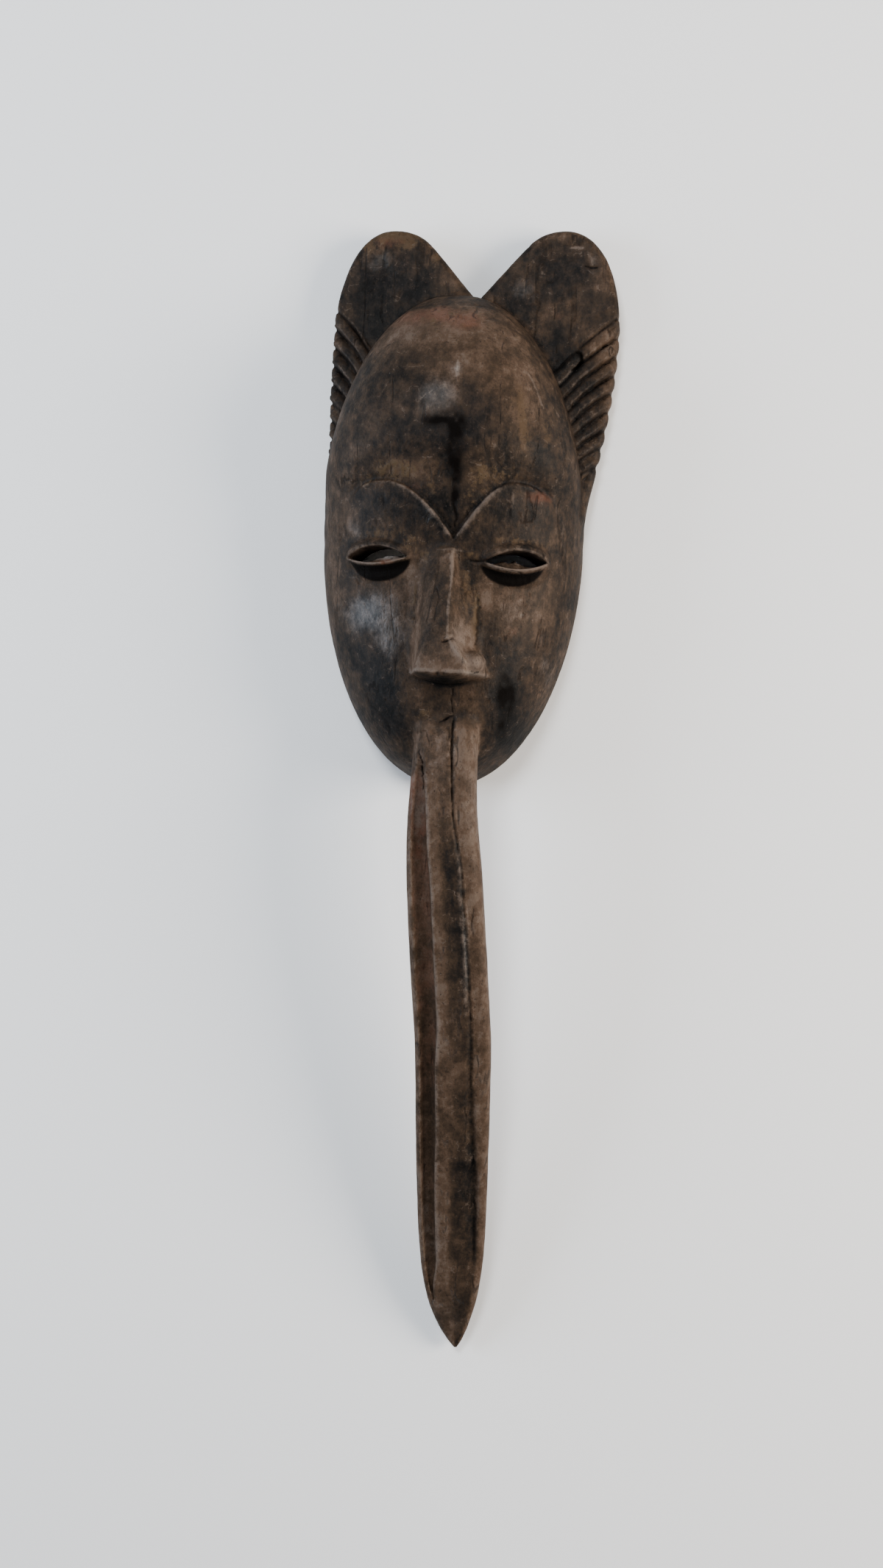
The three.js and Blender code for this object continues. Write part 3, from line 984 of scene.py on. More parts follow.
def points_of(mesh: Mesh) -> Array:
    """The places of a mesh's points, one a row."""
    flat = np.empty(len(mesh.vertices) * 3, np.float32)
    mesh.vertices.foreach_get("co", flat)
    return flat.reshape(-1, 3)


def set_value(mesh: Mesh, name: str, values: Array) -> None:
    """Stores a number for each point of a mesh under a name."""
    layer = mesh.attributes.get(name) or mesh.attributes.new(name, "FLOAT", "POINT")
    layer.data.foreach_set("value", values.astype(np.float32).ravel())


@dataclass
class Strands:
    """The strands of hair on the flanges: ridges that sweep up and out from the forehead."""

    crest: Crest
    count: int = 8
    pitch: float = 9.4
    half_width: float = 4.5
    steepness: dict[Side, float] = field(default_factory=lambda: {Side.LEFT: 1.35, Side.RIGHT: 1.0})
    tuck: float = 8.0
    tip_inset: float = 2.6
    middle_z: tuple[float, float] = (16.4, 10.4)
    top_y: dict[Side, float] = field(default_factory=lambda: {Side.LEFT: 236.0, Side.RIGHT: 233.0})
    bend: float = 0.16
    cell: float = 0.8

    def ends(self, side: Side, tip_y: float) -> tuple[tuple[float, float], tuple[float, float]]:
        """Where a strand springs from the forehead and where it ends on the flange's edge.

        Args:
            side: the side of the face.
            tip_y: the height of its tip.

        Returns:
            Its start and its tip, each as x and y.
        """
        flange = float(self.crest.flange_at(tip_y)) - self.tip_inset
        tip_x = side.value * flange + float(self.crest.lean_at(tip_y))
        start_y = tip_y
        for _ in range(6):
            hairline = float(OVAL.half_width_at(np.float32(start_y))) - self.tuck
            start_x = side.value * hairline + OVAL.middle_x
            start_y = (start_y + tip_y - self.steepness[side] * abs(tip_x - start_x)) / 2
        return (start_x, start_y), (tip_x, tip_y)

    def grooves(self) -> list[tuple[Side, Route]]:
        """The lines between the strands, from the forehead out over the flange's edge."""
        lines = []
        for side in Side:
            for index in range(self.count + 1):
                start, tip = self.ends(side, self.top_y[side] - self.pitch * (index - 0.5))
                middle = [a + (b - a) * 0.55 for a, b in zip(start, tip)]
                sag = self.bend * (tip[1] - start[1]) / 4
                out = (tip[0] + side.value * (self.tip_inset + 0.6), tip[1] + self.steepness[side] * 2.0)
                lines.append((side, [start, (middle[0] - side.value * sag, middle[1] + sag), tip, out]))
        return lines

    def seeds(self) -> Object:
        """The inner end of each strand as a point that also knows where its tip is."""
        inner, tips = [], []
        for side in Side:
            for index in range(self.count):
                start, tip = self.ends(side, self.top_y[side] - self.pitch * index)
                inner.append((*start, self.middle_z[0]))
                tips.append((*tip, self.middle_z[1]))
        mesh = bpy.data.meshes.new("strand_seeds")
        mesh.from_pydata(inner, [], [])
        layer = mesh.attributes.new("tip", "FLOAT_VECTOR", "POINT")
        layer.data.foreach_set("vector", np.array(tips, np.float32).ravel())
        return new_object("strand_seeds", mesh)

    def tree(self, material: Material) -> Sweep:
        """The tree that sweeps a round strand from each seed to its tip.

        Args:
            material: what the strands are dressed in.

        Returns:
            The tree.
        """
        sweep = Sweep("hair_strands")
        seed = sweep.size("Seed", 7)
        wide = sweep.size("Half Width", self.half_width)
        bend = sweep.size("Bend", self.bend)
        steps = sweep.size("Steps", 14)
        tip = sweep.stored("tip", "FLOAT_VECTOR")
        start = sweep.node("InputPosition").outputs[0]
        ahead = sweep.vector("SUBTRACT", tip, start)
        kept = sweep.node("StoreNamedAttribute", {
            "Geometry": sweep.entry.outputs[0], "Name": "ahead", "Value": ahead,
        }, data_type="FLOAT_VECTOR", domain="POINT")
        line = sweep.node("CurvePrimitiveLine", {"End": (1.0, 0.0, 0.0)})
        fine = sweep.node("ResampleCurve", {"Curve": line.outputs[0], "Count": steps})
        placed = sweep.node("InstanceOnPoints", {"Points": kept.outputs[0], "Instance": fine.outputs[0]})
        real = sweep.node("RealizeInstances", {0: placed.outputs[0]})
        along = sweep.node("SplineParameter").outputs["Factor"]
        path = sweep.stored("ahead", "FLOAT_VECTOR")
        unit = sweep.node("ShaderNodeCombineXYZ", {"X": along}).outputs[0]
        root = sweep.vector("SUBTRACT", sweep.node("InputPosition").outputs[0], unit)
        arch = sweep.times(along, sweep.math("SUBTRACT", 1.0, along), bend)
        reach = sweep.node("ShaderNodeSeparateXYZ", {0: path})
        side = sweep.times(reach.outputs["X"], arch, -1.0)
        lift = sweep.times(reach.outputs["Y"], arch)
        sag = sweep.node("ShaderNodeCombineXYZ", {"X": side, "Y": lift}).outputs[0]
        place = sweep.vector("ADD", sweep.vector("ADD", root, sweep.vector("SCALE", path, along)), sag)
        bent = sweep.node("SetPosition", {"Geometry": real.outputs[0], "Position": place})
        turn = sweep.times(sweep.math("ADD", sweep.times(along, 0.72), 0.12), math.pi)
        full = sweep.math("ADD", sweep.times(sweep.math("SINE", turn), 0.42), 0.58)
        number = sweep.math("FLOOR", sweep.math("DIVIDE", sweep.node("InputIndex").outputs[0], steps))
        chance = sweep.node(
            "FunctionNodeRandomValue", {2: 0.9, 3: 1.08, "ID": number, "Seed": seed}, data_type="FLOAT")
        radius = sweep.times(full, wide, chance.outputs[1])
        sized = sweep.node("SetCurveRadius", {"Curve": bent.outputs[0], "Radius": radius})
        ring = sweep.node("CurvePrimitiveCircle", {"Resolution": 12, "Radius": 1.0}, mode="RADIUS")
        swept = {"Curve": sized.outputs[0], "Profile Curve": ring.outputs[0], "Fill Caps": True}
        body = sweep.node("CurveToMesh", swept)
        if "Scale" in body.inputs:
            sweep.feed(body.inputs["Scale"], sweep.node("InputRadius").outputs[0])
        sweep.finish(body.outputs[0], material)
        return sweep

    def build(self, material: Material) -> None:
        """Sweeps the strands and samples the distance to each of them on one grid."""
        seeds = self.seeds()
        mesh = self.tree(material).applied(seeds)
        points = points_of(mesh)
        self.low = points.min(0) - 4
        size = np.ceil((points.max(0) + 4 - self.low) / self.cell).astype(int) + 1
        self.values = np.full(size, 6.0, np.float32)
        each = len(points) // (2 * self.count)
        faces = [[] for _ in range(2 * self.count)]
        for face in mesh.polygons:
            strand = face.vertices[0] // each
            faces[strand].append([corner - strand * each for corner in face.vertices])
        for strand, ring in enumerate(faces):
            self.sample(points[strand * each:(strand + 1) * each], ring)
        log.info("strands: %d points, grid %s", len(points), self.values.shape)
        bpy.data.objects.remove(seeds)

    def sample(self, points: Array, faces: list[list[int]]) -> None:
        """Lays one strand's distances into the grid.

        Args:
            points: the strand's points.
            faces: its faces, as numbers of its points.
        """
        tree = BVHTree.FromPolygons(points.tolist(), faces)
        first = np.floor((points.min(0) - 3 - self.low) / self.cell).astype(int)
        last = np.ceil((points.max(0) + 3 - self.low) / self.cell).astype(int)
        for i, j, k in np.ndindex(*(last - first)):
            at = (first[0] + i, first[1] + j, first[2] + k)
            place = Vector(self.low + np.array(at) * self.cell)
            spot, normal, _, off = tree.find_nearest(place)
            self.values[at] = min(self.values[at], math.copysign(off, (place - spot).dot(normal)))

    def distance(self, x: Array, y: Array, z: Array) -> Array:
        """Distances to the strands, read from their grid."""
        spot = [np.clip((part - low) / self.cell, 0, size - 1.001)
                for part, low, size in zip((x, y, z), self.low, self.values.shape)]
        whole = [part.astype(np.int64) for part in spot]
        share = [part - base for part, base in zip(spot, whole)]
        total = np.zeros(x.shape, np.float32)
        for corner in np.ndindex(2, 2, 2):
            weight = 1.0
            for part, up in zip(share, corner):
                weight = weight * (part if up else 1 - part)
            at = tuple(base + up for base, up in zip(whole, corner))
            total += (weight * self.values[at]).astype(np.float32)
        return total


class Zone(Enum):
    """A part of the mask that has stains of its own."""

    FACE = "face"
    CREST = "crest"
    NOSE = "nose"
    BEAK = "beak"


@dataclass(frozen=True)
class Patch:
    """A stain's place on the front of the mask: an ellipse with a soft edge."""

    x: float
    y: float
    wide: float
    tall: float
    strength: float = 1.0

    def cover(self, x: Array, y: Array) -> Array:
        """How much it covers each place."""
        off = ((x - self.x) / self.wide) ** 2 + ((y - self.y) / self.tall) ** 2
        return self.strength * np.exp(-off)


def covered(patches: list[Patch], x: Array, y: Array) -> Array:
    """How much several stains cover each place together, at most 1."""
    return np.clip(sum((patch.cover(x, y) for patch in patches), x * 0), 0, 1)


def spots(*rows: tuple[float, ...]) -> list[Patch]:
    """Patches from rows of their places, sizes and strengths."""
    return [Patch(*row) for row in rows]


class Wear:
    """Wear drawn on the sheet: how high, black, bare, caked and nibbled away each place is; some of the bare
    lines are painted highlight.
    """

    def __init__(self) -> None:
        """Starts with a bare sheet."""
        self.height, self.black, self.bare, self.caked, self.nibbled = (
            np.zeros(SHEET_X.shape, np.float32) for _ in range(5))

    def window(self, low: Array, high: Array) -> tuple[slice, slice]:
        """The rows and columns of the sheet between two corners.

        Args:
            low: the corner at the lower left.
            high: the corner at the upper right.

        Returns:
            The rows and the columns.
        """
        corners = (np.array((low, high)) - (SHEET.left, SHEET.foot)) / SHEET.step
        (left, foot), (right, head) = np.clip(corners, 0, SHEET_X.shape[::-1]).astype(int)
        return slice(foot, head), slice(left, right)

    def line(self, points: Route, half: float, height: float, wander: float = 0.0,
             black: float = 0.0, bare: float = 0.0) -> None:
        """Draws a crack, a ridge or a scratch that tapers to both ends.

        Args:
            points: where it runs.
            half: its half-width at its middle.
            height: how far it rises, negative for a cut.
            wander: how far it strays from its points.
            black: how black it is.
            bare: how far it is rubbed down to paler wood, and in some lines how strong a painted highlight
                is.
        """
        route = np.array(points, float)
        at = self.window(route.min(0) - 6, route.max(0) + 6)
        x, y = SHEET_X[at], SHEET_Y[at]
        if wander:
            flat = y * 0
            broad, fine = noise(flat + 3, y / 5, flat, 5), noise(flat, y / 1.7, flat, 9)
            x = x + wander * broad + 0.4 * wander * fine
            y = y + 0.5 * wander * noise(x / 4, flat + 8, flat, 6)
        share = np.linspace(-1, 1, len(route))
        taper = half * (1 - np.abs(share) ** 2.5)
        off = distance_to_line(route, x, y, taper * 0.5)
        trace = np.exp(-np.clip(off / (half * 0.75), 0, 6) ** 2)
        self.height[at] += height * trace
        self.black[at] = np.maximum(self.black[at], black * trace)
        self.bare[at] = np.maximum(self.bare[at], bare * trace)

    def dab(self, x: float, y: float, wide: float, tall: float, height: float, black: float = 0.0) -> None:
        """Draws a round chip or lump.

        Args:
            x, y: its middle.
            wide, tall: its half-width and its half-height.
            height: how high it stands, negative for a chip.
            black: how black it is.
        """
        reach = np.array((wide, tall)) * 3
        at = self.window((x, y) - reach, (x, y) + reach)
        trace = np.exp(-(((SHEET_X[at] - x) / wide) ** 2) - ((SHEET_Y[at] - y) / tall) ** 2)
        self.height[at] += height * trace
        self.black[at] = np.maximum(self.black[at], black * trace)

    def nibble(self, x: float, y: float, size: float, deep: float) -> None:
        """Takes a notch out of the crest's edge.

        Args:
            x, y: its middle.
            size: its half-width.
            deep: how far it cuts in.
        """
        reach = np.array((size, size)) * 3
        at = self.window((x, y) - reach, (x, y) + reach)
        trace = np.exp(-((SHEET_X[at] - x) ** 2 + (SHEET_Y[at] - y) ** 2) / size**2)
        self.nibbled[at] = np.maximum(self.nibbled[at], deep * trace)

    def pecked(self, patch: Patch, count: int, size: float, height: float, seed: int) -> None:
        """Scatters small dabs over a patch.

        Args:
            patch: where they fall.
            count: how many.
            size: how wide each is.
            height: how high each is, negative for a peck.
            seed: chooses the places.
        """
        chance = np.random.default_rng(seed)
        across = chance.normal(patch.x, patch.wide / 1.6, count)
        along = chance.normal(patch.y, patch.tall / 1.6, count)
        sizes = size * chance.uniform(0.6, 1.3, (count, 2))
        for x, y, (wide, tall) in zip(across, along, sizes):
            self.dab(x, y, wide, tall, height * chance.uniform(0.5, 1.0))

    def crust(self, patches: list[Patch], thick: float, grain: float, seed: int) -> None:
        """Cakes lumps of old crust over patches.

        Args:
            patches: where it sticks.
            thick: how high the lumps stand.
            grain: how wide they are.
            seed: chooses the lumps.
        """
        cover = covered(patches, SHEET_X, SHEET_Y)
        lumps = rough(SHEET_X / grain, SHEET_Y / grain, SHEET_X * 0, seed, 2)
        caked = cover * smooth_step(-0.25, 0.5, lumps + 0.55 * (cover - 0.5))
        self.height += thick * caked
        self.caked = np.maximum(self.caked, caked)


@dataclass
class MaskBody:
    """The whole mask as one field of distances."""

    face: FaceDome
    crest: Crest
    strands: Strands
    eyes: tuple[Eye, Eye]
    nose: Nose
    beak: Beak
    wear: Wear
    combed: Wear
    strand_fillet: float = 0.8
    lid_fillet: float = 1.6
    beak_fillet: float = 1.6
    hollow_rounding: float = 2.0
    slit_rounding: float = 0.7
    back_rounding: float = 1.2

    def part(self, shape: Callable, box: tuple[float, ...], x: Array, y: Array, z: Array) -> Array:
        """A part's distances, worked out only near its box.

        Args:
            shape: the part's own distances.
            box: its low and high x, y and z.
            x, y, z: the places.

        Returns:
            Its distances, or a large number away from it.
        """
        margin = 9
        near = (x > box[0] - margin) & (x < box[1] + margin) & (y > box[2] - margin) & (y < box[3] + margin)
        near &= (z > box[4] - margin) & (z < box[5] + margin)
        out = np.full(x.shape, FAR, np.float32)
        if near.any():
            out[near] = shape(x[near], y[near], z[near])
        return out

    def distance(self, x: Array, y: Array, z: Array) -> Array:
        """Distances to the carved wood, negative inside it."""
        body = self.part(self.face.distance, FACE_BOX, x, y, z)
        crest = self.part(self.crest.distance, CREST_BOX, x, y, z)
        crest = crest + SHEET.read(self.combed.nibbled, x, y)
        combed = SHEET.read(self.combed.height, x, y) * smooth_step(3, 8, z)
        off_notch = np.hypot(x - self.crest.lean, y - self.crest.notch_y)
        body = joined(body, crest - combed, 0.4 + 3.1 * smooth_step(3, 14, off_notch))
        strands = self.part(self.strands.distance, STRANDS_BOX, x, y, z)
        body = joined(body, strands - combed, self.strand_fillet)
        for eye in self.eyes:
            box = eye.box(20, 13, 28, 62)
            body = joined(body, self.part(eye.ball, box, x, y, z), self.lid_fillet)
        nose = self.part(self.nose.distance, NOSE_BOX, x, y, z)
        fillet = 1.2 + 2.6 * smooth_step(56, 72, y) * smooth_step(9, 3, x)
        body = joined(body, np.maximum(nose, 40 - z), fillet)
        beak = self.part(self.beak.distance, BEAK_BOX, x, y, z)
        body = joined(body, beak, self.beak_fillet)
        hollow = self.part(self.face.hollow, HOLLOW_BOX, x, y, z)
        front = smooth_step(2, 6, hollow) * smooth_step(3, 8, z)
        body = body - SHEET.read(self.wear.height, x, y) * front
        body = cut(body, hollow, self.hollow_rounding)
        for eye in self.eyes:
            box = eye.box(17, 6, 12, 66)
            body = cut(body, self.part(eye.slit, box, x, y, z), self.slit_rounding)
        return common(body, -z, self.back_rounding)

    def detailed(self, x: Array, y: Array, z: Array) -> Array:
        """Where fine marks need fine triangles, from 0 to 1."""
        marks = SHEET.read(self.wear.black, x, y) + SHEET.read(self.wear.bare, x, y)
        brow, worn = self.face.rims(x, y)
        marks = marks + worn * hump(brow, 0, 3) + 0.6 * SHEET.read(self.combed.black, x, y)
        for eye in self.eyes:
            shade, rim, worn = eye.lids(x, y, z)
            marks = marks + worn * hump(rim, 0, 3) + hump(shade, 0, 1.5)
        return np.clip(marks, 0, 1)

    def hollow(self, points: Array) -> Array:
        """Distances to the hollow behind the face, worked out a batch at a time."""
        return np.concatenate([self.face.hollow(*part.T) for part in np.array_split(points, 8)])

    def in_steps(self, points: Array) -> Array:
        """Distances for any number of places, worked out a batch at a time.

        Args:
            points: the places, one a row.

        Returns:
            The distances, negative inside.
        """
        batch = 400_000
        parts = [points[i:i + batch] for i in range(0, len(points), batch)]
        return np.concatenate([self.distance(*(part[:, k] for k in range(3))) for part in parts])

    def slopes(self, points: Array, step: float = 0.25) -> tuple[Array, Array]:
        """Distances and their slopes at places.

        Args:
            points: the places, one a row.
            step: how far apart the slope's two ends are.

        Returns:
            The distances, and the slope along each axis, one a row.
        """
        here = self.in_steps(points)
        offsets = np.eye(3, dtype=np.float32) * step
        return here, np.column_stack([(self.in_steps(points + off) - here) / step for off in offsets])


@dataclass
class Skin:
    """The skin of a field: found coarsely, refined, and drawn as a mesh of four-sided faces."""

    body: MaskBody
    low: Triple = (-74.0, -293.0, -4.0)
    high: Triple = (86.0, 288.0, 82.0)
    cell: float = 0.8
    coarse: int = 4
    away: float = 9.0
    least_slope: float = 0.09
    most_move: float = 0.5

    def sampled(self) -> Array:
        """The field on the fine grid, exact near the surface and only signed elsewhere."""
        step = self.cell * self.coarse
        size = np.ceil((np.array(self.high) - self.low) / step).astype(int) + 1
        axes = [low + np.arange(n, dtype=np.float32) * np.float32(step) for low, n in zip(self.low, size)]
        corners = np.stack(np.meshgrid(*axes, indexing="ij"), -1).reshape(-1, 3)
        values = self.body.in_steps(corners).reshape(size)
        span = size - 1
        views = [values[a:span[0] + a, b:span[1] + b, c:span[2] + c] for a, b, c in np.ndindex(2, 2, 2)]
        closest = np.min([np.abs(view) for view in views], axis=0)
        mixed = (np.min(views, axis=0) < 0) & (np.max(views, axis=0) > 0)
        active = mixed | (closest < step * 0.95)
        fine = np.repeat(np.repeat(np.repeat(views[0], self.coarse, 0), self.coarse, 1), self.coarse, 2)
        fine = np.sign(fine).astype(np.float32) * np.float32(self.away)
        blocks = np.argwhere(active)
        inner = np.stack(np.meshgrid(*[np.arange(self.coarse)] * 3, indexing="ij"), -1).reshape(-1, 3)
        at = (blocks[:, None, :] * self.coarse + inner[None]).reshape(-1, 3)
        places = np.array(self.low, np.float32) + at.astype(np.float32) * np.float32(self.cell)
        fine[at[:, 0], at[:, 1], at[:, 2]] = self.body.in_steps(places)
        log.info("field: %d coarse places, %d fine places", len(corners), len(places))
        return fine

    def quads(self, fine: Array) -> tuple[Array, Array]:
        """One point for each cell that the surface crosses, and a face for each crossed edge.

        Args:
            fine: the field on the grid.

        Returns:
            The points and the faces.
        """
        inside = fine < 0
        size = np.array(fine.shape) - 1
        count = np.zeros(size, np.uint8)
        for a, b, c in np.ndindex(2, 2, 2):
            count += inside[a:size[0] + a, b:size[1] + b, c:size[2] + c]
        cells = np.argwhere((count > 0) & (count < 8))
        total = np.zeros((len(cells), 3))
        hits = np.zeros(len(cells))
        for axis in range(3):
            step = np.eye(3, dtype=int)[axis]
            for a, b in np.ndindex(2, 2):
                start = np.insert(np.array([a, b]), axis, 0)
                first = fine[tuple((cells + start).T)]
                second = fine[tuple((cells + start + step).T)]
                crossed = (first < 0) != (second < 0)
                share = np.where(crossed, first / np.where(crossed, first - second, 1), 0)
                total += np.where(crossed[:, None], start + share[:, None] * step, 0)
                hits += crossed
        points = np.array(self.low) + (cells + total / hits[:, None]) * self.cell
        number = np.full(size, -1, np.int32)
        number[tuple(cells.T)] = np.arange(len(cells))
        faces = []
        for axis in range(3):
            u, v = [(1, 2), (2, 0), (0, 1)][axis]
            step = np.eye(3, dtype=int)
            near = np.take(inside, range(size[axis]), axis)
            far = np.take(inside, range(1, size[axis] + 1), axis)
            edges = np.argwhere(near != far)
            over, up = edges[:, u], edges[:, v]
            edges = edges[(over > 0) & (up > 0) & (over < size[u]) & (up < size[v])]
            rising = near[tuple(edges.T)]
            ring = [edges - step[u] - step[v], edges - step[v], edges, edges - step[u]]
            quad = np.column_stack([number[tuple(corner.T)] for corner in ring])
            quad[~rising] = quad[~rising][:, ::-1]
            faces.append(quad)
        return points.astype(np.float32), np.vstack(faces)

    def settle(self, points: Array, rounds: int = 2) -> Array:
        """Moves points onto the field's true surface.

        Args:
            points: the points, one a row.
            rounds: how often they are moved.

        Returns:
            The moved points.
        """
        for _ in range(rounds):
            here, slope = self.body.slopes(points)
            steep = np.maximum((slope**2).sum(1), self.least_slope)
            move = np.clip(here / steep, -self.most_move, self.most_move)
            points = points - slope * move[:, None].astype(np.float32)
        return points

    def mesh(self, name: str) -> Mesh:
        """The skin as a mesh, in millimetres in the carving's frame."""
        points, faces = self.quads(self.sampled())
        points = self.settle(points)
        log.info("skin: %d points, %d faces", len(points), len(faces))
        return mesh_of(name, points, faces)


@dataclass
class ToolMarks:
    """Facets left by the adze and the knife, hewn into the skin along its own directions."""

    facet_size: float = 8.0
    facet_depth: float = 0.32
    grain_depth: float = 0.07
    back_depth: float = 0.9
    seed: int = 11

    def tree(self, material: Material) -> Sweep:
        """The tree that moves each point of the skin along its normal.

        Args:
            material: what the skin is dressed in.

        Returns:
            The tree.
        """
        sweep = Sweep("tool_marks")
        size = sweep.size("Facet Size", self.facet_size)
        depth = sweep.size("Facet Depth", self.facet_depth)
        grain = sweep.size("Grain Depth", self.grain_depth)
        back = sweep.size("Back Depth", self.back_depth)
        seed = sweep.size("Seed", self.seed)
        spot = sweep.node("InputPosition").outputs[0]
        long_way = sweep.vector("MULTIPLY", spot, (1.0, 0.6, 1.0))
        facets = sweep.node("ShaderNodeTexVoronoi", {
            "Vector": long_way, "Scale": sweep.math("DIVIDE", 1.0, size), "Randomness": 0.95, "W": seed,
        }, voronoi_dimensions="4D", feature="SMOOTH_F1").outputs["Distance"]
        hewn = sweep.math("SUBTRACT", facets, 0.45)
        fibres = sweep.vector("MULTIPLY", spot, (1.0, 0.25, 1.0))
        ripple = sweep.node("ShaderNodeTexNoise", {"Vector": fibres, "Scale": 0.42, "Detail": 3.0}).outputs[0]
        hidden = sweep.stored("hollow")
        calm = sweep.stored("calm")
        strength = sweep.math("ADD", sweep.times(depth, calm), sweep.times(back, hidden))
        cuts = sweep.times(hewn, strength)
        waves = sweep.times(sweep.math("SUBTRACT", ripple, 0.5), sweep.times(grain, 4.0))
        move = sweep.math("ADD", cuts, waves)
        normal = sweep.node("InputNormal").outputs[0]
        moved = sweep.node("SetPosition", {
            "Geometry": sweep.entry.outputs[0], "Offset": sweep.vector("SCALE", normal, move),
        })
        sweep.finish(moved.outputs[0], material)
        return sweep


LID_STAIN = Patch(-28.4, 107.9, 3.4, 1.4)
# A painted highlight on the ledge inside the left eye's slit, which lifts bare above 1.
LEDGE_PAINTED_LIGHT = Patch(-28.5, 111.0, 6.5, 2.2, 1.9)

